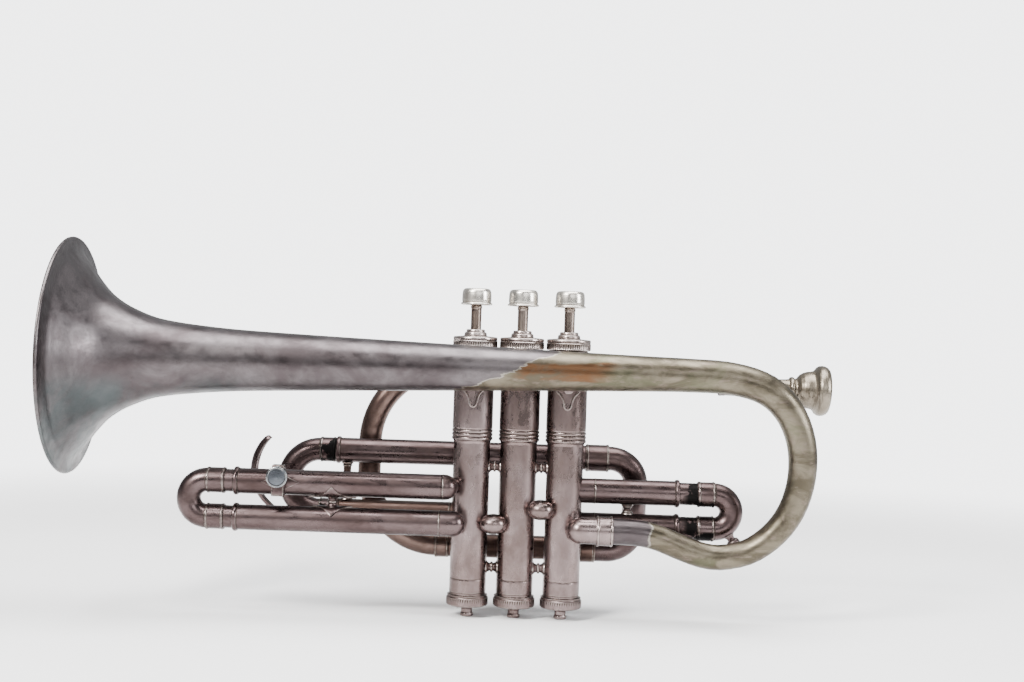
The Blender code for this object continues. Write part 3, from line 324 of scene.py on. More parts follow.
def cork_material():
    n = Nodes(bpy.data.materials.new("cork"))
    at = n.put("ShaderNodeMapping", {"Vector": n.place["Object"], "Scale": (CORK_CELLS / MM,) * 3})
    cells = n.put("ShaderNodeTexVoronoi", {"Vector": at, "Scale": 1.0}, "Distance")
    tone = n.mix(n.ramp(cells, 0.1, 0.7), (0.190, 0.095, 0.040), (0.420, 0.250, 0.130))
    tone = n.mix(n.ramp(n.noise(0.6), 0.55, 0.7) * 0.6, tone, (0.080, 0.045, 0.025))
    return n.surface({"Base Color": tone, "Roughness": 0.92, "Normal": n.bump(cells, 0.25, 0.6)})


MATERIALS["cork"] = cork_material()


# ---------------- mesh makers
# wear is the mean bend of a vertex's edges; very short edges count as if they were longer
WEAR_GAIN, WEAR_LIMIT, LEAST_SQUARE = 0.8, 0.5, 0.02
SHARP_ANGLE = radians(50.0)


def read(items, key, width, kind=float):
    """One attribute of every vertex or edge, as the rows of an array."""
    values = np.empty(len(items) * width, kind)
    items.foreach_get(key, values)
    return values.reshape(-1, width)


def mark(mesh, name, values):
    mesh.attributes.new(name, "FLOAT", "POINT").data.foreach_set("value", values)


def finish(name, bm, look, node, patch=None, rubbed=1.0):
    """A mesh in millimetres becomes a piece that stands for a CAD node and rides on its body.

    patch is a function that says where the plating is gone, rubbed how strongly edges wear.
    """
    bmesh.ops.recalc_face_normals(bm, faces=bm.faces)
    mesh = bpy.data.meshes.new(name)
    bm.to_mesh(mesh)
    bm.free()
    spots, normals = read(mesh.vertices, "co", 3), read(mesh.vertices, "normal", 3)
    a, b = read(mesh.edges, "vertices", 2, int).T
    gap = spots[b] - spots[a]
    square = np.maximum((gap ** 2).sum(1), LEAST_SQUARE)
    total, times = np.zeros(len(spots)), np.zeros(len(spots))
    for end, sign in ((a, 1.0), (b, -1.0)):
        np.add.at(total, end, sign * (normals[end] * gap).sum(1) / square)
        np.add.at(times, end, 1)
    bend = -WEAR_GAIN * total / np.maximum(times, 1)
    mark(mesh, "wear", rubbed * np.clip(bend, -WEAR_LIMIT, WEAR_LIMIT))
    if patch:
        mark(mesh, "patch", [patch(Vector(p)) for p in spots])
    mesh.transform(Matrix.Scale(MM, 4))
    mesh.shade_smooth()
    mesh.set_sharp_from_angle(angle=SHARP_ANGLE)
    mesh.materials.append(MATERIALS[look])
    ob = bpy.data.objects.new(name, mesh)
    bpy.context.scene.collection.objects.link(ob)
    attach(ob, BODY_OF[node])
    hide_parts(node)
    return ob


def refine(points, step, guard, closed=True):
    """Extra points on the long runs of an outline, with one close to each corner."""
    out = []
    count = len(points) if closed else len(points) - 1
    for i in range(count):
        a, b = Vector(points[i]), Vector(points[(i + 1) % len(points)])
        length = (b - a).length
        out.append(tuple(a))
        if length > 3.0 * guard:
            inner = length - 2.0 * guard
            steps = max(1, int(inner / step + 0.999))
            out += [tuple(a.lerp(b,
                (guard + inner * k / steps) / length)) for k in range(steps + 1)]
    if not closed:
        out.append(tuple(points[-1]))
    return out


def skin(bm, rings, closed):
    """Join rings of vertices with faces. A closed skin also joins the last ring to the first."""
    last = len(rings) if closed else len(rings) - 1
    for i in range(last):
        a, b = rings[i], rings[(i + 1) % len(rings)]
        for k in range(max(len(a), len(b))):
            quad = [a[k % len(a)], a[(k + 1) % len(a)], b[(k + 1) % len(b)], b[k % len(b)]]
            unique = [v for j, v in enumerate(quad) if v not in quad[:j]]
            if len(unique) > 2:
                bm.faces.new(unique)


def plate(bm, outer, inner):
    """Close two grids of vertices into a thin plate. A row of one vertex is a pointed end."""
    def face(*corners):
        unique = [v for j, v in enumerate(corners) if v not in corners[:j]]
        bm.faces.new(unique)

    across = len(outer[0]) - 1
    for rows in (outer, inner):
        for a, b in zip(rows, rows[1:]):
            for j in range(across):
                face(a[j], b[min(j, len(b) - 1)], b[min(j + 1, len(b) - 1)], a[j + 1])
    for j in (0, across):
        for i in range(len(outer) - 1):
            k = min(j, len(outer[i + 1]) - 1)
            face(outer[i][j], outer[i + 1][k], inner[i + 1][k], inner[i][j])
    for a, b in ((outer[0], inner[0]), (outer[-1], inner[-1])):
        for j in range(len(a) - 1):
            face(a[j], a[j + 1], b[j + 1], b[j])


def direction_frame(axis, side=ACROSS):
    """Two directions square to an axis and to each other, the first close to side."""
    w = Vector(axis).normalized()
    u = Vector(side) - w * w.dot(Vector(side))
    if u.length < TINY:
        u = Vector(ALONG)
        u -= w * w.dot(u)
    u.normalize()
    return u, w.cross(u)


def spin_into(bm, outline, base, axis, sides=48, knurl=None, guard=0.5):
    """Add an outline of (radius, height) points turned about an axis.

    knurl is (low, high, teeth, depth, radius beyond which it cuts).
    """
    w = Vector(axis).normalized()
    u, v = direction_frame(w)
    rings = []
    for radius, height in refine(outline, 6.0, guard):
        at = Vector(base) + w * height
        if radius < 1e-5:
            if not rings or len(rings[-1]) > 1 or (rings[-1][0].co - at).length > 1e-5:
                rings.append([bm.verts.new(at)])
            continue
        cut = knurl and knurl[0] - TINY <= height <= knurl[1] + TINY and radius > knurl[4]
        ring = []
        for k in range(sides):
            t = 2.0 * pi * k / sides
            r = radius
            if cut:
                r -= knurl[3] * (0.5 - 0.5 * cos(knurl[2] * t)) ** 0.7
            ring.append(bm.verts.new(at + (u * cos(t) + v * sin(t)) * r))
        rings.append(ring)
    # an outline that ends on the axis is a solid; one that doesn't is a ring
    solid = len(rings[0]) == 1
    while solid and len(rings[-1]) == 1 and len(rings[-2]) == 1:
        bm.verts.remove(rings.pop()[0])
    while solid and len(rings[0]) == 1 and len(rings[1]) == 1:
        bm.verts.remove(rings.pop(0)[0])
    skin(bm, rings, closed=not solid)


def turned(name, outline, base, axis, look, node, sides=48, knurl=None, more=(), guard=0.5):
    """A turned piece, with any further turned shapes that belong to it."""
    bm = bmesh.new()
    spin_into(bm, outline, base, axis, sides, knurl, guard)
    for shape in more:
        spin_into(bm, *shape)
    finish(name, bm, look, node)


def bead(height, rise, radius, half, steps=5):
    """Points of a half-round bead on a turned outline, going up."""
    angles = [pi * k / steps for k in range(steps + 1)]
    return [(radius + rise * sin(t), height - half * cos(t)) for t in angles]


def arc(radius, height, degrees):
    """Points of a turned outline on a circle about the axis, at angles above its level."""
    return [(radius * cos(radians(t)), height + radius * sin(radians(t))) for t in degrees]


def ball_end(length, r, inner):
    """Outline of a tube's half-ball end, from the outside to the inside."""
    tip = [(NEAR_AXIS, length + r), (NEAR_AXIS, length + r - END_WALL)]
    return arc(r, length, range(0, 90, 9)) + tip + arc(inner, length, range(80, -1, -16))


def round_path(corners, bends):
    """Points along a polyline whose inner corners are rounded, with a point every 5 degrees."""
    pts = [Vector(c) for c in corners]
    out = [pts[0]]
    for i in range(1, len(pts) - 1):
        a = (pts[i - 1] - pts[i]).normalized()
        b = (pts[i + 1] - pts[i]).normalized()
        turn = pi - a.angle(b)
        cut = bends[i - 1] / cos(turn / 2.0) * sin(turn / 2.0)
        start = pts[i] + a * cut
        mid = (a + b).normalized()
        centre = pts[i] + mid * (bends[i - 1] / cos(turn / 2.0))
        spoke = start - centre
        axis = (-a).cross(b).normalized()
        steps = max(2, round(turn / radians(5.0)))
        out += [centre + Matrix.Rotation(turn * k / steps, 3,
            axis) @ spoke for k in range(steps + 1)]
    out.append(pts[-1])
    return [p for i, p in enumerate(out) if i == 0 or (p - out[i - 1]).length > 1e-4]


class Route:
    """A path that can be asked for a point at a distance along it."""

    def __init__(self, points):
        self.points = [Vector(p) for p in points]
        self.marks = [0.0]
        for p, q in zip(self.points, self.points[1:]):
            self.marks.append(self.marks[-1] + (q - p).length)
        self.length = self.marks[-1]

    def at(self, s):
        s = min(max(s, 0.0), self.length)
        i = int(np.searchsorted(self.marks, s, side="right")) - 1
        i = min(max(i, 0), len(self.points) - 2)
        t = (s - self.marks[i]) / (self.marks[i + 1] - self.marks[i])
        return self.points[i].lerp(self.points[i + 1], t)

    def aim(self, s):
        return (self.at(s + 0.4) - self.at(s - 0.4)).normalized()


def ring_stack(bm, route, stations, sides):
    """A ring of vertices square to the route at each (distance, radius)."""
    rings, side = [], Vector(ACROSS)
    for s, r in stations:
        u, v = direction_frame(route.aim(s), side)
        side = u
        at = route.at(s)
        angles = [2.0 * pi * k / sides for k in range(sides)]
        rings.append([bm.verts.new(at + (u * cos(t) + v * sin(t)) * r) for t in angles])
    return rings


def sweep_into(bm, route, profile, bore, sides):
    """Tube along a route. profile is a list of (distance, outer radius); bore a radius or None."""
    marks = sorted({s for s in route.marks if profile[0][0] < s < profile[-1][0]})
    stations = refine(profile, 5.0, 0.5, closed=False)
    where, radii = zip(*stations)
    for s in marks:
        if min(abs(s - w) for w in where) > 0.25:
            stations.append((s, float(np.interp(s, where, radii))))
    stations.sort(key=lambda station: station[0])
    outside = ring_stack(bm, route, stations, sides)
    first, last = stations[0][0], stations[-1][0]
    if bore is None:
        tips = [[bm.verts.new(route.at(first))], [bm.verts.new(route.at(last))]]
        skin(bm, [tips[0]] + outside + [tips[1]], closed=False)
        return
    inside = [first] + marks + [last]
    inside = [(s, bore) for i, s in enumerate(inside) if i == 0 or s - inside[i - 1] > 1e-4]
    skin(bm, outside + ring_stack(bm, route, inside, sides)[::-1], closed=True)


def swept(name, points, profile, bore, look, node, sides=44, patch=None, more=()):
    bm = bmesh.new()
    sweep_into(bm, Route(points), profile, bore, sides)
    for maker in more:
        maker(bm)
    return finish(name, bm, look, node, patch)


def pipe(name, points, radius, bore, look, node, sides=44):
    """Tube or wire of one radius."""
    profile = [(0.0, radius), (Route(points).length, radius)]
    return swept(name, points, profile, bore, look, node, sides)


# ---------------- valves
def build_valve(k, x):
    """Casing, caps, stem and finger button of one valve, as outlines turned about its axis."""
    foot = (x, 0.0, 0.0)
    low, high = heights("valve_casing_%d" % k)
    rings = []
    for z in CASING_BEADS:
        rings += bead(z, 0.50, 10.0, 0.85)
    outline = [(9.0, low), (9.0, 11.4), (9.25, 11.6), (9.25, 12.6), (CASING_R, 12.8),
        (CASING_R, 19.2), (9.28, 19.5), (9.28, 19.8), (CASING_R, 20.1), (CASING_R, BEAD_Z - 1.2),
        (CASING_R + 0.25, BEAD_Z - 0.4)]
    outline += rings + [(10.25, 96.4), (10.3, 99.0), (10.25, 118.0), (UPPER_R, 136.0),
        (UPPER_R, 137.2), (9.9, 137.4), (9.9, high), (9.2, high), (9.2, 104.0), (BORE_R, 103.5),
        (BORE_R, low)]
    turned("casing_shell_%d" % k, outline, foot, UP, "casing", "valve_casing_%d" % k, 80)
    r, z = CAP_R, 5.5
    outline = [(0.0, 0.05), (2.3, 0.05), (2.5, 0.0), (FOOT_R - 0.35, 0.0), (FOOT_R, 0.35),
        (FOOT_R, 1.5), (FOOT_R - 0.45, 2.0), (FOOT_R - 0.45, 3.8), (FOOT_R, 4.5), (4.3, 4.9),
        (5.4, z - 0.1), (r - 1.4, z), (r - 0.55, z + 0.35), (r, z + 0.9), (r, z + 4.3),
        (r - 0.45, z + 4.7), (r - 0.55, z + 5.3), (r - 0.35, z + 5.7), (r - 0.8, z + 6.0),
        (9.3, z + 6.0), (9.3, z + 2.0), (0.0, z + 2.0)]
    turned("lower_cap_%d" % k, outline, foot, UP, "casing", "bottom_cap_%d" % k, 216,
        (z + 1.3, z + 4.0, 54, 0.34, r - 0.3), guard=0.35)
    r = TOP_CAP_R
    z, boss = heights("top_cap_%d" % k)
    outline = [(3.0, 141.0), (10.1, 141.0), (10.1, z), (r - 0.5, z), (r, z + 0.5), (r, z + 3.4),
        (r - 0.3, z + 3.8), (r - 0.1, z + 4.2), (r - 0.1, z + 5.2), (r - 0.5, z + 5.6),
        (8.6, z + 5.8), (6.2, z + 6.0), (5.8, z + 6.3), (5.7, z + 7.4), (5.3, z + 7.9),
        (4.75, z + 8.1), (4.75, boss - 0.4), (4.4, boss), (3.0, boss)]
    turned("upper_cap_%d" % k, outline, foot, UP, "cap", "top_cap_%d" % k, 240,
        (z + 0.7, z + 3.2, 60, 0.34, r - 0.3), guard=0.35)
    stem_low, stem_high = heights("valve_stem_%d" % k)
    outline = [(0.0, stem_low), (5.0, stem_low), (5.0, stem_low + 3.0), (STEM_R, stem_low + 4.5),
        (STEM_R, 133.0), (6.0, 134.0), (6.0, 139.6), (STEM_R, 140.2), (STEM_R, 157.6),
        (STEM_R + 0.2, 158.0), (STEM_R + 0.2, 159.0), (STEM_R, 159.3), (STEM_R, stem_high),
        (0.0, stem_high)]
    turned("stem_%d" % k, outline, foot, UP, "stem", "valve_stem_%d" % k, 40)
    low, high = heights("finger_button_%d" % k)
    r = BUTTON_R
    outline = [(0.0, 163.3), (3.0, 163.3), (3.0, low), (r - 0.7, low), (r - 0.15, low + 0.2),
        (r, low + 0.6), (r - 0.15, low + 1.0), (r - 0.65, low + 1.25), (r - 0.75, low + 1.7),
        (r - 0.55, low + 2.3), (r - 0.62, low + 5.2), (r - 0.8, high - 1.6), (r - 1.25, high - 0.6),
        (r - 2.0, high - 0.12), (r - 2.7, high), (r - 3.3, high - 0.15), (r - 4.2, high - 0.35),
        (0.0, high - 0.6)]
    turned("button_%d" % k, outline, foot, UP, "bright", "finger_button_%d" % k, 64)


def build_spring(k, x):
    """Coil spring below a piston."""
    node = "valve_spring_%d" % k
    low, high = heights(node)
    steps = SPRING_TURNS * 28
    path = []
    for i in range(steps + 1):
        t = 2.0 * pi * SPRING_TURNS * i / steps
        z = low + WIRE_R + (high - low - 2.0 * WIRE_R) * i / steps
        path.append((x + SPRING_R * cos(t), SPRING_R * sin(t), z))
    ob = pipe("spring_%d" % k, path, WIRE_R, None, "steel", node, 10)
    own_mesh(ob)


for number, x in VALVE_X.items():
    build_valve(number, x)
    build_spring(number, x)


# ---------------- links between the casings
def build_links():
    """Ball-shaped air links and turned braces between the casings."""
    steps = 20
    ball = [(sin(pi * k / steps), -cos(pi * k / steps)) for k in range(steps + 1)]
    ball[0], ball[-1] = (0.0, -1.0), (0.0, 1.0)
    for name, node in (("crossover_front", "crossover_3_2"), ("crossover_rear", "crossover_2_1")):
        at = middle(node)
        at.y = CROSSOVER_Y
        bm = bmesh.new()
        spin_into(bm, ball, (0.0, 0.0, 0.0), ALONG, 40, guard=9.0)
        for v in bm.verts:
            v.co = Vector([a + u * half for a, u, half in zip(at, v.co, CROSSOVER_HALF)])
        finish(name, bm, "casing", node, rubbed=0.2)
    outline = [(0.0, -3.6), (3.4, -3.6), (3.3, -2.5), (2.9, -2.2), (2.5, -1.9), (2.2, -1.2),
        (2.0, -0.9)]
    outline += bead(0.0, 0.8, 2.0, 0.8) + [(r, -h) for r, h in reversed(outline)]
    for end in ("upper_32", "upper_21", "lower_32", "lower_21"):
        node = "casing_brace_" + end
        at = middle(node)
        turned("spool_" + end, outline, (at.x, 0.0, at.z), ALONG, "casing", node, 32, guard=0.6)


build_links()


# ---------------- slides
def outer_tube(name, node, mouth, end, look, port=None, rib=None, plunge=None):
    """Tube from mouth to end. With a port it ends in a half ball, with a stub toward the port.

    rib is a ring's distance from the mouth, plunge the stub's length where it isn't worked out.
    """
    mouth, end = Vector(mouth), Vector(end)
    length = (end - mouth).length
    r = TUBE_R
    outline = [(r - 0.6, 0.0)] + bead(1.25, 0.75, r, 1.2, 7) + [(r, 2.9)]
    if rib:
        outline += [(r, rib - 0.5)] + bead(rib, 0.22, r, 0.35, 4)
    more = []
    if port:
        outline += [(r, length - 2.0)] + ball_end(length, r, BORE)
        outline += [(BORE, length - 4.0), (SLEEVE_R, length - 8.0), (SLEEVE_R, 0.0)]
        way = Vector(port) - end
        reach = plunge or way.length - STUB_STOP
        stub = [(0.0, 0.0), (STUB_R, 0.0), (STUB_R, reach - 1.5), (STUB_R - 0.6, reach - 0.4),
            (STUB_R - 1.8, reach), (0.0, reach)]
        more = [(stub, end, way, 40)]
    else:
        outline += [(r, length), (SLEEVE_R, length), (SLEEVE_R, 0.0)]
    turned(name, outline, mouth, (end - mouth).normalized(), look, node, more=more)


def half_round(start, across, axis, steps=24):
    """Centre line of a half-round bow."""
    bend = across.length / 2.0
    centre = start + across / 2.0
    out = []
    for k in range(steps + 1):
        t = pi * k / steps
        out.append(centre - across.normalized() * bend * cos(t) + axis * bend * sin(t))
    return out


def u_slide(name, node, start, across, axis, ferrule, insert, look, patch=None, more=()):
    """U slide: two legs, two ferrules with fine beads, and the bow between them."""
    start, across, axis = Vector(start), Vector(across), Vector(axis)
    back, body = ferrule + insert, FERRULE_R - 0.1
    points = [start - axis * back] + half_round(start, across,
        axis) + [start + across - axis * back]
    leg = [(LEG_R, 0.0), (LEG_R, insert - 0.02), (body, insert)]
    leg += bead(insert + 0.75, 0.28, body, 0.6, 4) + [(body, insert + 1.5), (body, back - 1.4)]
    leg += bead(back - 0.75, 0.28, body, 0.55, 4) + [(FERRULE_R - 0.12, back - 0.05),
        (BOW_R, back + 0.05)]
    total = Route(points).length
    profile = [(s, r) for r, s in leg] + [(total - s, r) for r, s in reversed(leg)]
    swept(name, points, profile, BORE, look, node, patch=patch, more=more)


def tube_pair(upper, lower):
    """Y of two slide tubes, the height of each, and the ends of the upper one's box."""
    low, high = low_high(upper)
    z2 = sum(heights(lower)) / 2.0
    return (low.y + high.y) / 2.0, (low.z + high.z) / 2.0, z2, low, high


def bow_fitting(x, y, z1, z2, angle):
    """Centre of an upright bow, and the direction and distance of a fitting on its outside."""
    centre = Vector((x, y, (z1 + z2) / 2.0))
    return centre, Vector((cos(angle), 0.0, sin(angle))), (z1 - z2) / 2.0 + BOW_R


# ---------------- bell
def smooth_curve(knots, per_span):
    pts = [Vector(k) for k in knots]
    pts = [pts[0] * 2.0 - pts[1]] + pts + [pts[-1] * 2.0 - pts[-2]]
    out = []
    for i in range(1, len(pts) - 2):
        p0, p1, p2, p3 = pts[i - 1:i + 3]
        for k in range(per_span):
            t = k / per_span
            out.append(0.5 * (2.0 * p1 + (p2 - p0) * t
                              + (2.0 * p0 - 5.0 * p1 + 4.0 * p2 - p3) * t * t
                              + (3.0 * p1 - p0 - 3.0 * p2 + p3) * t * t * t))
    out.append(pts[-2])
    return out


def bell_radius(s):
    """Outer radius at a distance from the rim, by a monotone cubic through BELL_TAPER."""
    knots = BELL_TAPER
    if s <= knots[0][0]:
        return knots[0][1] / 2.0
    if s >= knots[-1][0]:
        return knots[-1][1] / 2.0
    slopes = [(b[1] - a[1]) / (b[0] - a[0]) for a, b in zip(knots, knots[1:])]
    inner = [2.0 * m * n / (m + n) if m * n > 0.0 else 0.0 for m, n in zip(slopes, slopes[1:])]
    tangents = [slopes[0]] + inner + [slopes[-1]]
    i = max(k for k in range(len(knots) - 1) if knots[k][0] <= s)
    (a, fa), (b, fb) = knots[i:i + 2]
    h = b - a
    t = (s - a) / h
    value = ((1 + 2 * t) * (1 - t) ** 2 * fa + t * (1 - t) ** 2 * h * tangents[i]
             + t * t * (3 - 2 * t) * fb + t * t * (t - 1) * h * tangents[i + 1])
    return value / 2.0


def build_bell():
    """Flare, rolled rim and rear loop as one tapered tube."""
    x, y, z = low_high("bell")[0].x, *BELL_LOOP[0][1:]
    route = Route([(x, y, z)] + smooth_curve(BELL_LOOP, 8))
    # the rings get further apart away from the rim
    marks = [3.0 + 0.9 * k for k in range(10)]
    while marks[-1] < route.length:
        marks.append(marks[-1] + min(1.12 * (marks[-1] - marks[-2]), 4.5))
    marks = [s for s in marks if s < route.length - 0.5] + [route.length]
    outer = BELL_RIM + [(s, bell_radius(s) - (0.0 if s > 4 else 0.3)) for s in marks]
    inner = [(0.0, 57.2), (0.5, 56.6)]
    inner += [(s, max(bell_radius(s) - BELL_WALL, 2.0)) for s in [1.6, 2.3] + marks]
    bm = bmesh.new()
    outside, inside = (ring_stack(bm, route, stations, 96) for stations in (outer, inner))
    skin(bm, outside + inside[::-1], closed=True)
    finish("bell_body", bm, "bell", "bell")


build_bell()


def build_bell_tail():
    """Two-bead ferrule over the bell's end and the rounded knuckle that turns into the casing."""
    low, high = low_high("bell_ferrule")
    y, z = BELL_LOOP[-1][1:]
    outline = [(6.9, low.x), (7.15, low.x)] + bead(low.x + 0.75, 0.5, 7.2, 0.6)
    outline += [(7.3, low.x + 1.6), (7.3, high.x - 1.6)] + bead(high.x - 0.75, 0.5, 7.2, 0.6)
    outline += [(7.15, high.x), (6.9, high.x)]
    turned("bell_sleeve", outline, (0.0, y, z), ALONG, "casing", "bell_ferrule", 64, guard=0.3)
    start, ball, r = 44.5, 32.2, KNUCKLE_R
    length = start - ball
    outline = [(r, 0.0), (r, length - 1.0)] + ball_end(length, r,
        r - END_WALL) + [(r - END_WALL, 0.0)]
    heart = Vector((ball, y, z))
    way = Vector((VALVE_X[1], 0.0, z)) - heart
    reach = way.length - STUB_STOP
    stub = [(0.0, 0.0), (STUB_R, 0.0), (STUB_R, reach), (0.0, reach)]
    turned("bell_elbow", outline, (start, y, z), (-1.0, 0.0, 0.0), "casing", "bell_knuckle", 64,
        more=[(stub, heart, way, 40)])


build_bell_tail()


def leg_patch(spots):
    """1 where the plating is gone, inside any of the (low corner, high corner) boxes, and else 0."""
    def amount(p):
        for low, high in spots:
            if all(a <= v <= b for a, v, b in zip(low, p, high)):
                return 1.0
        return 0.0
    return amount


# ---------------- third slide
def build_third_slide():
    y = middle("third_valve_slide").y
    _, z1, z2, low, _ = tube_pair("third_slide_outer_upper", "third_slide_outer_lower")
    for tag, z, ball, rib, port, plunge in (("upper", z1, -36.6, -37.6, -30.5, 11.5),
                                            ("lower", z2, -32.3, -39.1, VALVE_X[3], None)):
        outer_tube("third_tube_" + tag, "third_slide_outer_" + tag, (low.x, y, z), (ball, y, z),
            "tube", port=(port, 0.0, z), rib=rib - low.x, plunge=plunge)
    start, end = THIRD_BOW
    u_slide("third_bow", "third_valve_slide", (end, y, z1), (0.0, 0.0, z2 - z1), (-1.0, 0.0, 0.0),
        start - end, THIRD_LEG, "tube")
    leaf_brace("third_brace", "third_slide_brace", y, z1, z2, 12.0)


def saddle_into(bm, centre, half_length, aim, widest, thick, power=0.62):
    """Pointed leaf wrapped round a tube: a diamond with hollow sides, widest in the middle.

    aim is the angle about the tube at which the leaf sits, widest its half angle there.
    """
    steps, across = 28, 14
    grids = []
    for top in (True, False):
        rows = []
        for i in range(steps + 1):
            u = -1.0 + 2.0 * i / steps
            fade = (1.0 - abs(u)) ** (1.0 / power)
            half = max(widest * (0.16 * (1.0 - abs(u)) ** 0.5 + 0.84 * fade), 0.012)
            row = []
            for j in range(across + 1):
                t = aim + half * (-1.0 + 2.0 * j / across)
                # the top's two edges are rounded off a little
                r = TUBE_R + (0.02 if not top else thick - 0.15 if j in (0, across) else thick)
                x = centre[0] + u * half_length
                row.append(bm.verts.new((x, centre[1] + r * cos(t), centre[2] + r * sin(t))))
            rows.append(row)
        grids.append(rows)
    plate(bm, *grids)


def leaf_brace(name, node, y, z1, z2, half_length):
    """Turned spool between two tubes, with a pointed leaf on each of them."""
    x = middle(node).x
    bm = bmesh.new()
    saddle_into(bm, (x, y, z1), half_length, -pi / 2.0, radians(82.0), 0.75)
    saddle_into(bm, (x, y, z2), half_length * 0.85, pi / 2.0, radians(70.0), 0.75)
    a, b = z1 - TUBE_R - 0.2, z2 + TUBE_R + 0.2
    m = (a + b) / 2.0
    outline = [(0.0, b), (3.1, b), (2.7, b + 0.5), (2.3, b + 1.0), (2.1, m - 0.9)] + bead(m, 0.6,
        2.1, 0.7)
    outline += [(2.1, m + 0.9), (2.3, a - 1.0), (2.7, a - 0.5), (3.1, a), (0.0, a)]
    spin_into(bm, outline, (x, y, 0.0), UP, 32, guard=0.3)
    finish(name, bm, "tube", node)


build_third_slide()


# ---------------- first, second and main slides
def spool(name, node, a, b, look):
    """Turned spool between two points."""
    a, b = Vector(a), Vector(b)
    length = (b - a).length
    m = length / 2.0
    near = min(1.8, m * 0.5)
    outline = [(0.0, 0.0), (3.2, 0.0), (3.0, 0.8), (2.5, 1.1)] + bead(near, 0.5, 2.1,
        0.5) + [(1.8, m)]
    outline += bead(length - near, 0.5, 2.1, 0.5)
    outline += [(2.5, length - 1.1), (3.0, length - 0.8), (3.2, length), (0.0, length)]
    turned(name, outline, a, b - a, look, node, 32, guard=0.4)


def tube_spool(name, node, x, y, z1, z2, look):
    """Upright spool from the top of the lower tube to the bottom of the upper one."""
    spool(name, node, (x, y, z2 + TUBE_R - 0.2), (x, y, z1 - TUBE_R + 0.2), look)


def build_first_slide():
    y, z1, z2, _, high = tube_pair("first_slide_outer_upper", "first_slide_outer_lower")
    mouth, inner = high.x, VALVE_X[1] + 7.0
    for tag, z in (("upper", z1), ("lower", z2)):
        outer_tube("first_tube_" + tag, "first_slide_outer_" + tag, (mouth, y, z), (inner, y, z),
            "tube", rib=mouth - inner - 9.0)
    start, end = FIRST_BOW
    centre, aim, reach = bow_fitting(end, y, z1, z2, KNOB_AIM)
    knob = [(0.0, reach - 0.9), (3.0, reach - 0.9), (2.7, reach - 0.1), (2.1, reach + 0.7),
        (1.9, reach + 1.6), (2.1, reach + 2.4)]
    knob += [(2.6 + 0.8 * sin(radians(t)), reach + 4.4 - 1.9 * cos(radians(t))) for t in range(15,
        166, 15)]
    knob += [(1.6, reach + 6.4), (0.0, reach + 6.5)]
    spots = []
    for z in (z1, z2):
        spots += [((87.0, y - 9, z - 9), (92.6, y + 9, z + 9)),
            ((92.6, y - 9, z - 9), (101.0, y + 9, z - 1.5))]
    u_slide("first_bow", "first_valve_slide", (end, y, z1), (0.0, 0.0, z2 - z1), ALONG, end - start,
        FIRST_LEG, "tube", leg_patch(spots), [lambda bm: spin_into(bm, knob, centre, aim, 32,
        guard=0.4)])
    tube_spool("first_brace", "first_slide_brace", FIRST_BRACE_X, y, z1, z2, "tube")


def build_second_slide():
    _, z1, z2, _, high = tube_pair("second_slide_outer_upper", "second_slide_outer_lower")
    for tag, z in (("upper", z1), ("lower", z2)):
        outer_tube("second_tube_" + tag, "second_slide_outer_" + tag, (0.0, high.y, z),
            (0.0, 7.5, z), "rear_tube")
    start, end = SECOND_BOW
    u_slide("second_bow", "second_valve_slide", (0.0, end, z1), (0.0, 0.0, z2 - z1), ACROSS,
        end - start, SECOND_LEG, "rear_tube")


def key_posts(bm, centre, pivot, reach):
    """Two flat posts with round tops, from the bow up to the water key's pin."""
    rise_way = (pivot - centre).normalized()
    foot = centre + rise_way * (reach - 1.6)
    rise = (pivot - foot).length
    turn = Vector(UP).rotation_difference(rise_way).to_matrix()
    outline = [(1.9, -0.6), (1.5, 1.2), (1.25, rise - 1.4)] + arc(1.5, rise, range(-20, 201, 20))
    outline += [(-1.25, rise - 1.4), (-1.5, 1.2), (-1.9, -0.6)]
    for side in (-3.4, 3.4):
        at = foot + Vector((0.0, side, 0.0))
        faces = [[bm.verts.new(at + turn @ Vector((u, depth, w))) for u,
            w in outline] for depth in (-0.65, 0.65)]
        skin(bm, faces, closed=False)
        for face in faces:
            bm.faces.new(face)


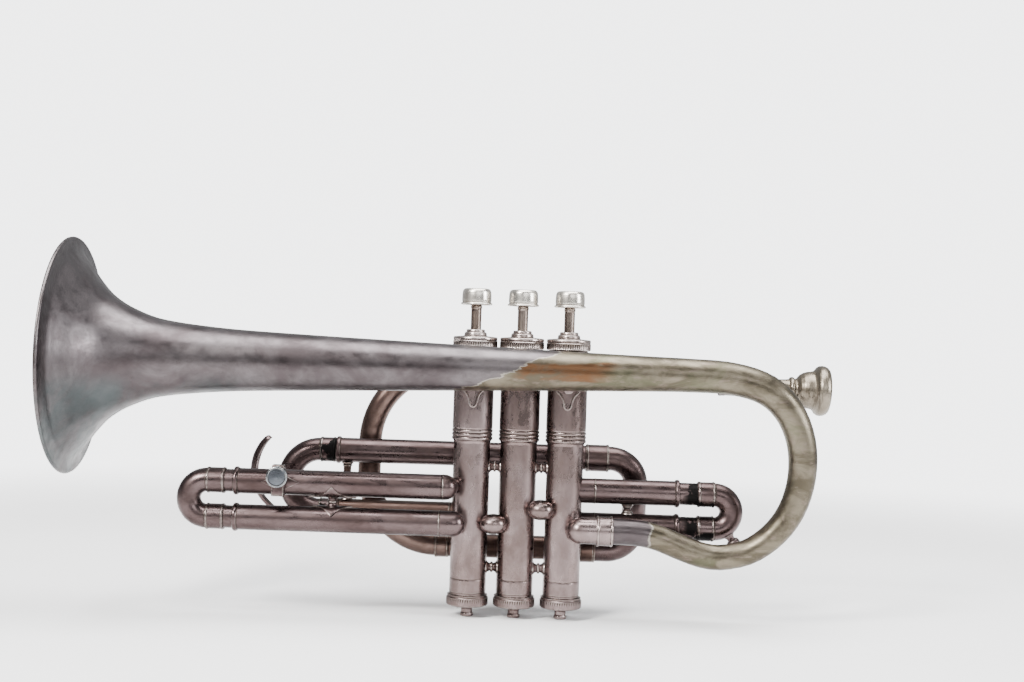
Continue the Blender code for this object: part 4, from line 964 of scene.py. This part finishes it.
def build_main_slide():
    y, z1, z2, low, high = tube_pair("transfer_tube", "main_slide_outer_lower")
    outer_tube("main_tube_lower", "main_slide_outer_lower", (low.x, y, z2), (-31.5, y, z2),
        "rear_tube", port=(VALVE_X[3], 0.0, z2), rib=60.0)
    length = high.x - low.x
    r, wide = TUBE_R, 7.0
    outline = [(r - 0.6, 0.0)] + bead(1.25, 0.75, r, 1.2, 7) + [(r, 2.9), (r, 68.0)] + bead(68.5,
        0.2, r, 0.35, 4)
    outline += [(r, 69.0), (r, length - 12.3), (wide, length - 12.0)] + bead(length - 11.2, 0.25,
        wide, 0.5, 4)
    outline += [(wide, length - 10.6), (wide, length - 1.4)] + bead(length - 0.8, 0.25, wide, 0.5,
        4)
    outline += [(wide, length), (JOINT_R, length), (SLEEVE_R, length - 5.0), (SLEEVE_R, 0.0)]
    turned("transfer_pipe", outline, (low.x, y, z1), ALONG, "tube", "transfer_tube")
    start, end = MAIN_BOW
    centre, aim, reach = bow_fitting(end, y, z1, z2, KEY_AIM)
    nipple = [(0.0, reach - 1.6), (3.2, reach - 1.6), (2.9, reach - 0.6), (2.5, reach - 0.2),
        (2.5, reach + 0.7), (2.2, reach + 0.9), (1.3, reach + 0.9), (1.3, reach - 0.5),
        (0.0, reach - 0.5)]
    pivot = Vector(KEY_PIVOT)
    black = leg_patch([((-103.0, y - 9, z - 9), (-95.0, y + 3, z + 9)) for z in (z1, z2)])
    u_slide("main_bow", "main_tuning_slide", (end, y, z1), (0.0, 0.0, z2 - z1), (-1.0, 0.0, 0.0),
        start - end, MAIN_LEG, "tube", black, [lambda bm: spin_into(bm, nipple, centre, aim, 32,
        guard=0.4), lambda bm: key_posts(bm, centre, pivot, reach)])
    build_water_key(pivot, centre, reach, aim)
    tube_spool("main_brace", "main_slide_brace", MAIN_BRACE_X, y, z1, z2, "rear_tube")


def build_water_key(pivot, centre, reach, aim):
    """Rocking lever: curved touch plate, hub, arm and cork cup."""
    y = pivot.y
    bm = bmesh.new()
    spine = smooth_curve([(pivot.x, 0.0, pivot.z)] + [(x, 0.0, z) for x, z in KEY_TOUCH], 6)
    rows = []
    count = len(spine)
    for i, p in enumerate(spine):
        w = float(np.interp(i / (count - 1) * 7.0, range(8), KEY_WIDTHS))
        # a round tip
        if i > count - 5:
            w = 2.9 * sqrt(max(0.02, 1.0 - ((i - count + 5) / 4.0) ** 2)) + 0.2
        along = (spine[min(i + 1, count - 1)] - spine[max(i - 1, 0)]).normalized()
        out = Vector((along.z, 0.0, -along.x))
        ring = []
        for k in range(24):
            t = 2.0 * pi * k / 24
            sx = abs(cos(t)) ** 0.6 * (1 if cos(t) > 0 else -1)
            sy = abs(sin(t)) ** 0.8 * (1 if sin(t) > 0 else -1)
            rise = sy * KEY_HALF_THICKNESS - KEY_CROWN * w * (1.0 - sx * sx)
            ring.append(bm.verts.new(Vector((p.x, y + sx * w, p.z)) + out * rise))
        rows.append(ring)
    skin(bm, rows, closed=False)
    bm.faces.new(rows[0])
    bm.faces.new(rows[-1])
    hub = [(0.0, -2.5), (1.7, -2.5), (2.1, -2.1), (2.1, 2.1), (1.7, 2.5), (0.0, 2.5)]
    spin_into(bm, hub, (pivot.x, y, pivot.z), ACROSS, 32, guard=0.3)
    seat = centre + aim * (reach + 1.2)
    cup = [(0.0, 2.0), (2.9, 2.0), (2.9, 1.2), (3.2, 1.0), (3.5, 1.2), (3.5, 2.8), (3.1, 3.5),
        (2.2, 3.8), (0.0, 3.9)]
    spin_into(bm, cup, seat, aim, 40, guard=0.3)
    arm_end = seat + aim * 2.9
    arm = Route([pivot, pivot.lerp(arm_end, 0.5) - Vector((0.0, 0.0, 0.4)), arm_end])
    sweep_into(bm, arm, [(0.0, 1.5), (arm.length * 0.5, 1.2), (arm.length, 1.4)], None, 20)
    finish("key_lever", bm, "tube", "water_key")
    disc = [(0.0, 0.0), (2.5, 0.0), (2.6, 0.15), (2.6, 1.7), (0.0, 1.7)]
    turned("key_cork", disc, seat, aim, "cork", "water_key_cork", 32, guard=0.4)
    low, high = low_high("water_key_pin")
    pin = [(0.0, low.y), (0.5, low.y), (0.65, low.y + 0.2), (0.65, high.y - 0.2), (0.5, high.y),
        (0.0, high.y)]
    turned("key_pin", pin, (pivot.x, 0.0, pivot.z), ACROSS, "steel", "water_key_pin", 20, guard=0.3)


build_first_slide()
build_second_slide()
build_main_slide()


# ---------------- mouthpipe side
LEAD_Y = (low_high("leadpipe")[0].y + low_high("leadpipe")[1].y) / 2.0
LEAD_AXIS = Vector((cos(LEAD_TILT), 0.0, -sin(LEAD_TILT)))


def lead_point(x):
    """The point of the leadpipe's axis at an X."""
    return Vector((x, LEAD_Y, LEAD_REF[1] + (LEAD_REF[0] - x) * sin(LEAD_TILT) / cos(LEAD_TILT)))


def on_lead_axis(name, outline, look, node, sides=48):
    """A turned piece on the tilted leadpipe, from an outline of (radius, X)."""
    scaled = [(r, x / cos(LEAD_TILT)) for r, x in outline]
    turned(name, scaled, lead_point(0.0), LEAD_AXIS, look, node, sides, guard=0.4)


def build_mouthpipe():
    outline = [(4.35, 108.5), (4.75, 137.0), (5.0, 141.5), (5.3, 143.2)]
    outline += bead(144.6, 0.9, 5.6, 1.3)
    outline += [(5.6, 146.8), (6.4, 147.5), (7.9, 148.7), (9.1, 150.6), (9.75, 152.6),
        (10.0, 154.4), (10.3, 155.8), (11.3, 156.9), (12.5, 157.7), (13.2, 158.8), (13.45, 160.3),
        (13.25, 161.8), (12.6, 163.2), (11.6, 164.1), (10.6, 164.4), (9.6, 164.0), (8.9, 163.0),
        (8.5, 161.4), (8.1, 158.5), (7.4, 155.0), (6.1, 152.0), (4.4, 150.0), (2.7, 148.0),
        (1.9, 146.5), (2.3, 138.0), (3.5, 108.5)]
    on_lead_axis("cup_mouthpiece", outline, "mouthpiece", "mouthpiece", 72)
    a, b = 106.0, 136.0
    outline = [(6.0, a)] + bead(a + 0.8, 0.25, 6.0, 0.6, 4) + [(6.0, a + 3.0), (5.75, a + 3.6),
        (5.75, b - 7.0)]
    outline += bead(b - 6.2, 0.5, 5.8, 0.6, 5) + [(6.0, b - 5.4), (6.0, b - 1.6)] + bead(b - 0.9,
        0.45, 5.9, 0.7, 5)
    outline += [(5.1, b), (4.9, 108.2), (4.75, 107.6), (4.75, a)]
    on_lead_axis("receiver", outline, "tube", "mouthpiece_receiver")
    outline = [(3.9, 107.0), (4.6, 107.0), (4.7, 100.0), (5.6, -20.0), (5.75, -27.4), (6.5, -27.9)]
    outline += bead(-28.8, 0.3, 6.55, 0.55, 4)[::-1] + [(6.6, -29.8), (6.6, -34.8)]
    outline += bead(-35.4, 0.3, 6.55, 0.55, 4)[::-1]
    outline += [(6.1, -36.1), (6.1, -31.8), (5.2, -31.6), (5.0, -20.0)]
    on_lead_axis("mouth_pipe", outline, "rear_tube", "leadpipe")
    y, z = middle("return_tube").y, middle("return_tube").z
    corner = lead_point(-79.0)
    path = round_path([lead_point(-32.2), corner, (corner.x, y, z), (-38.5, y, z)], FRONT_BOW_BEND)
    pipe("front_bend", path, BOW_R, 5.4, "rear_tube", "front_bow")
    a, b = low_high("return_tube")[0].x, low_high("return_tube")[1].x
    outline = [(6.1, a)] + bead(a + 0.9, 0.3, 6.55, 0.55, 4) + [(6.6, a + 1.6),
        (6.6, a + 6.2)] + bead(a + 6.9, 0.25, 6.5, 0.5, 4)
    outline += [(JOINT_R - 0.1, a + 7.8), (JOINT_R - 0.1, b - 9.2)] + bead(b - 8.2, 0.3, 6.8, 0.55,
        4)
    outline += [(6.9, b - 7.4), (6.9, b - 1.3)] + bead(b - 0.7, 0.25, 6.8, 0.5, 4) + [(6.3, b),
        (5.7, b - 5.0), (5.7, a)]
    turned("return_pipe", outline, (0.0, y, z), ALONG, "rear_tube", "return_tube")
    main = middle("transfer_tube")
    corners = [(43.6, main.y, main.z), (62.2, main.y, main.z), (62.2, y, z), (38.9, y, z)]
    path = round_path(corners, (REAR_BOW_BEND, REAR_BOW_BEND))
    pipe("rear_bend", path, JOINT_R, 5.7, "tube", "rear_bow")
    for k in (1, 3):
        x, _, z = lead_point(VALVE_X[k])
        spool("mouth_pipe_brace_%d" % k, "leadpipe_brace_%d" % k, (x, 9.8, z), (x, LEAD_Y - 5.2, z),
            "rear_tube")


build_mouthpipe()


# ---------------- bell braces: pointed leaf and pillar
# (half width, Z) down to the tip
LEAF_EDGE = [(7.2, 120.6), (6.4, 118.4), (5.1, 116.4), (3.6, 114.8), (2.7, 113.3), (2.15, 111.6),
    (1.75, 109.8), (1.1, 108.3), (0.0, 107.7)]


def build_bell_brace(k):
    """Leaf with hollow sides on the casing's front, a rolled edge, and a pillar up to the bell."""
    x = VALVE_X[k]
    edge = [(p.x, p.z) for p in smooth_curve([(u, 0.0, z) for u, z in LEAF_EDGE], 4)]
    r_in, r_out = UPPER_R + 0.18, UPPER_R + 0.75
    bm = bmesh.new()

    def on_casing(u, z, r):
        t = asin(max(-1.0, min(1.0, u / r)))
        return Vector((x + r * sin(t), -r * cos(t), z))

    across = 16
    grids = []
    for r in (r_out, r_in):
        rows = [[bm.verts.new(on_casing(u * (-1.0 + 2.0 * j / across), z,
            r)) for j in range(across + 1)] for u, z in edge[:-1]]
        grids.append(rows + [[bm.verts.new(on_casing(0.0, edge[-1][1], r))]])
    plate(bm, *grids)
    # rolled edge that follows the leaf's outline
    line = [on_casing(u, z, r_out) for u, z in edge]
    line += [on_casing(-u, z, r_out) for u, z in reversed(edge[:-1])]
    route = Route(line)
    sweep_into(bm, route, [(0.0, 0.62), (route.length, 0.62)], None, 14)
    pillar = [(0.0, 0.0), (3.4, 0.0), (2.7, 0.7), (2.4, 1.6), (2.4, 6.6), (2.8, 7.6), (0.0, 8.0)]
    spin_into(bm, pillar, (x, -UPPER_R - 0.3, 118.8), (0.0, -1.0, 0.0), 32, guard=0.4)
    finish("bell_leaf_%d" % k, bm, "casing", "bell_brace_%d" % k)


for number in (1, 3):
    build_bell_brace(number)


# ---------------- lyre socket
def build_lyre():
    """Square holder with a square hole, a saddle on the slide tube, and the knurled thumbscrew."""
    low, high = low_high("lyre_box")
    screw = low_high("lyre_screw")
    x, y = (screw[0].x + screw[1].x) / 2.0, low.y + LYRE_DEPTH / 2.0
    bm = bmesh.new()

    def rounded(half, r, z, steps=5):
        ring = []
        for sx, sy, start in ((1, 1, 0), (-1, 1, 90), (-1, -1, 180), (1, -1, 270)):
            for k in range(steps + 1):
                t = radians(start + 90.0 * k / steps)
                u, v = x + sx * (half[0] - r), y + sy * (half[1] - r)
                ring.append(bm.verts.new((u + r * cos(t), v + r * sin(t), z)))
        return ring

    small = [w - 0.25 for w in LYRE_HALF]
    tall = high.z - low.z
    rows = [rounded(small, 0.6, low.z), rounded(LYRE_HALF, 0.6, low.z + 0.25)]
    rows += [rounded(LYRE_HALF, 0.6, low.z + 0.25 + (tall - 0.5) * k / 8.0) for k in range(1, 9)]
    rows += [rounded(small, 0.6, high.z), rounded(LYRE_HOLE_HALF, 0.3, high.z)]
    rows += [rounded(LYRE_HOLE_HALF, 0.3, high.z - tall * k / 8.0) for k in range(1, 9)]
    skin(bm, rows, closed=True)
    z_tube = sum(heights("third_slide_outer_upper")) / 2.0
    saddle_into(bm, (x + 0.4, middle("third_valve_slide").y, z_tube + 0.4), 9.4, pi, radians(42.0),
        0.65, power=0.8)
    finish("lyre_holder", bm, "tube", "lyre_box")
    r = LYRE_KNOB_R
    outline = [(0.0, -0.5), (1.4, -0.5), (1.4, 0.8), (2.2, 0.8), (2.2, 1.5), (r - 0.7, 1.5),
        (r - 0.2, 1.8), (r, 2.2), (r, 3.5), (r - 0.25, 3.95), (r - 0.7, 4.15), (r - 1.0, 4.2),
        (r - 1.25, 4.1), (0.0, 4.25)]
    turned("lyre_knob", outline, (x, low.y, LYRE_SCREW_Z), (0.0, -1.0, 0.0), "polished",
        "lyre_screw", 192, (1.9, 3.8, 48, 0.22, r - 0.3), guard=0.35)


build_lyre()

# ---------------- camera, light and floor
CAMERA_AT = (-0.00524, -0.774, 0.1417)
CAMERA_ROLL = radians(1.9)
LENS, SENSOR = 52.95, 36.0
FLOOR_Z, FLOOR_RINGS = -0.0002, (0.1, 0.2, 0.3, 0.4, 0.55, 0.7, 0.9, 1.1)
# the floor is clear beyond the first distance and solid within the second, in millimetres
FLOOR_FADE = (950.0, 450.0)
# strength of the reflected room, and the tone where the camera sees it
ROOM_FRONT, ROOM_BACK, ROOM_COLOUR = 0.26, 0.62, (0.96, 0.98, 1.0)
BACKGROUND = (4.30, 4.32, 4.36)
camera_data = bpy.data.cameras.new("camera")
camera_data.lens, camera_data.sensor_width = LENS, SENSOR
camera_data.clip_start, camera_data.clip_end = 0.01, 20.0
camera = bpy.data.objects.new("camera", camera_data)
right = Vector((cos(CAMERA_ROLL), 0.0, sin(CAMERA_ROLL)))
top = Vector((-sin(CAMERA_ROLL), 0.0, cos(CAMERA_ROLL)))
back = Vector((0.0, -1.0, 0.0))
turn = Matrix((right, top, back)).transposed().to_4x4()
camera.matrix_world = Matrix.Translation(CAMERA_AT) @ turn
bpy.context.scene.collection.objects.link(camera)
bpy.context.scene.camera = camera


def floor_disc():
    """A plain round floor. It fades into the studio's even background, so no view has an edge."""
    bm = bmesh.new()
    sides = [2.0 * pi * k / 96 for k in range(96)]
    rings = [[bm.verts.new((0.0, 0.0, FLOOR_Z))]]
    for r in FLOOR_RINGS:
        rings.append([bm.verts.new((r * cos(t), r * sin(t), FLOOR_Z)) for t in sides])
    skin(bm, rings, closed=False)
    mesh = bpy.data.meshes.new("floor")
    bm.to_mesh(mesh)
    bm.free()
    n = Nodes(bpy.data.materials.new("pale_paper"))
    tone = n.mix(n.ramp(n.noise(0.004, 3.0), 0.35, 0.65), (0.925, 0.923, 0.925),
        (0.955, 0.954, 0.957))
    x, y = n.axis("X"), n.axis("Y")
    fade = n.ramp(n.maths("SQRT", x * x + y * y), *FLOOR_FADE)
    normal = n.bump(n.noise(0.02, 3.0), 1.2, 0.25)
    mesh.materials.append(n.surface({"Base Color": tone, "Roughness": 0.75, "Alpha": fade,
        "Normal": normal}))
    ob = bpy.data.objects.new("floor", mesh)
    bpy.context.scene.collection.objects.link(ob)


def studio():
    """Surroundings: brighter behind the horn than in front of it in reflections, and one even pale
    tone where the camera sees them."""
    world = bpy.data.worlds.new("studio")
    n = Nodes(world)
    y = n.put("ShaderNodeSeparateXYZ", {0: n.place["Generated"]}, "Y")
    strength = n.put("ShaderNodeMapRange", {"Value": y, "From Min": -0.1, "From Max": 0.6,
        "To Min": ROOM_FRONT, "To Max": ROOM_BACK})
    room = n.fill(n.tree.nodes["Background"], {"Color": ROOM_COLOUR, "Strength": strength})
    seen = n.put("ShaderNodeBackground", {"Color": BACKGROUND})
    by_camera = n.put("ShaderNodeLightPath", {}, "Is Camera Ray")
    either = n.put("ShaderNodeMixShader", {0: by_camera, 1: room.outputs[0], 2: seen})
    n.fill(n.tree.nodes["World Output"], {"Surface": either})
    bpy.context.scene.world = world


def soft_light(name, at, aim, size, power, colour=EVEN):
    data = bpy.data.lights.new(name, "AREA")
    data.shape, data.size, data.size_y = "RECTANGLE", size[0], size[1]
    data.energy, data.color = power, colour
    ob = bpy.data.objects.new(name, data)
    ob.location = at
    ob.rotation_euler = (Vector(aim) - Vector(at)).to_track_quat("-Z", "Y").to_euler()
    bpy.context.scene.collection.objects.link(ob)


floor_disc()
soft_light("key", (-0.9, -1.1, 1.1), (0.0, 0.0, 0.1), (0.45, 0.45), 54.0, (1.0, 0.985, 0.96))
soft_light("overhead", (0.1, -0.1, 1.5), (0.0, 0.1, 0.0), (1.6, 1.0), 60.0)
soft_light("side", (1.2, -0.42, 0.48), (-0.2, -0.05, 0.14), (0.40, 0.55), 17.0, (0.97, 0.985, 1.0))
soft_light("fill", (0.5, -1.5, 0.7), (0.0, 0.0, 0.1), (0.9, 0.5), 7.0, (0.98, 0.99, 1.0))
studio()

# ---------------- looks of the CAD nodes that stay
NODE_LOOKS = {"piston_nickel": "nickel", "spring_steel": "steel", "cork": "cork",
    "bright_silver": "bright", "tarnished_silver": "tube", "worn_bell": "bell"}
for node, ob in NODES.items():
    for spot in ob.material_slots:
        spot.material = MATERIALS[NODE_LOOKS[SLOT_OF[node]]]
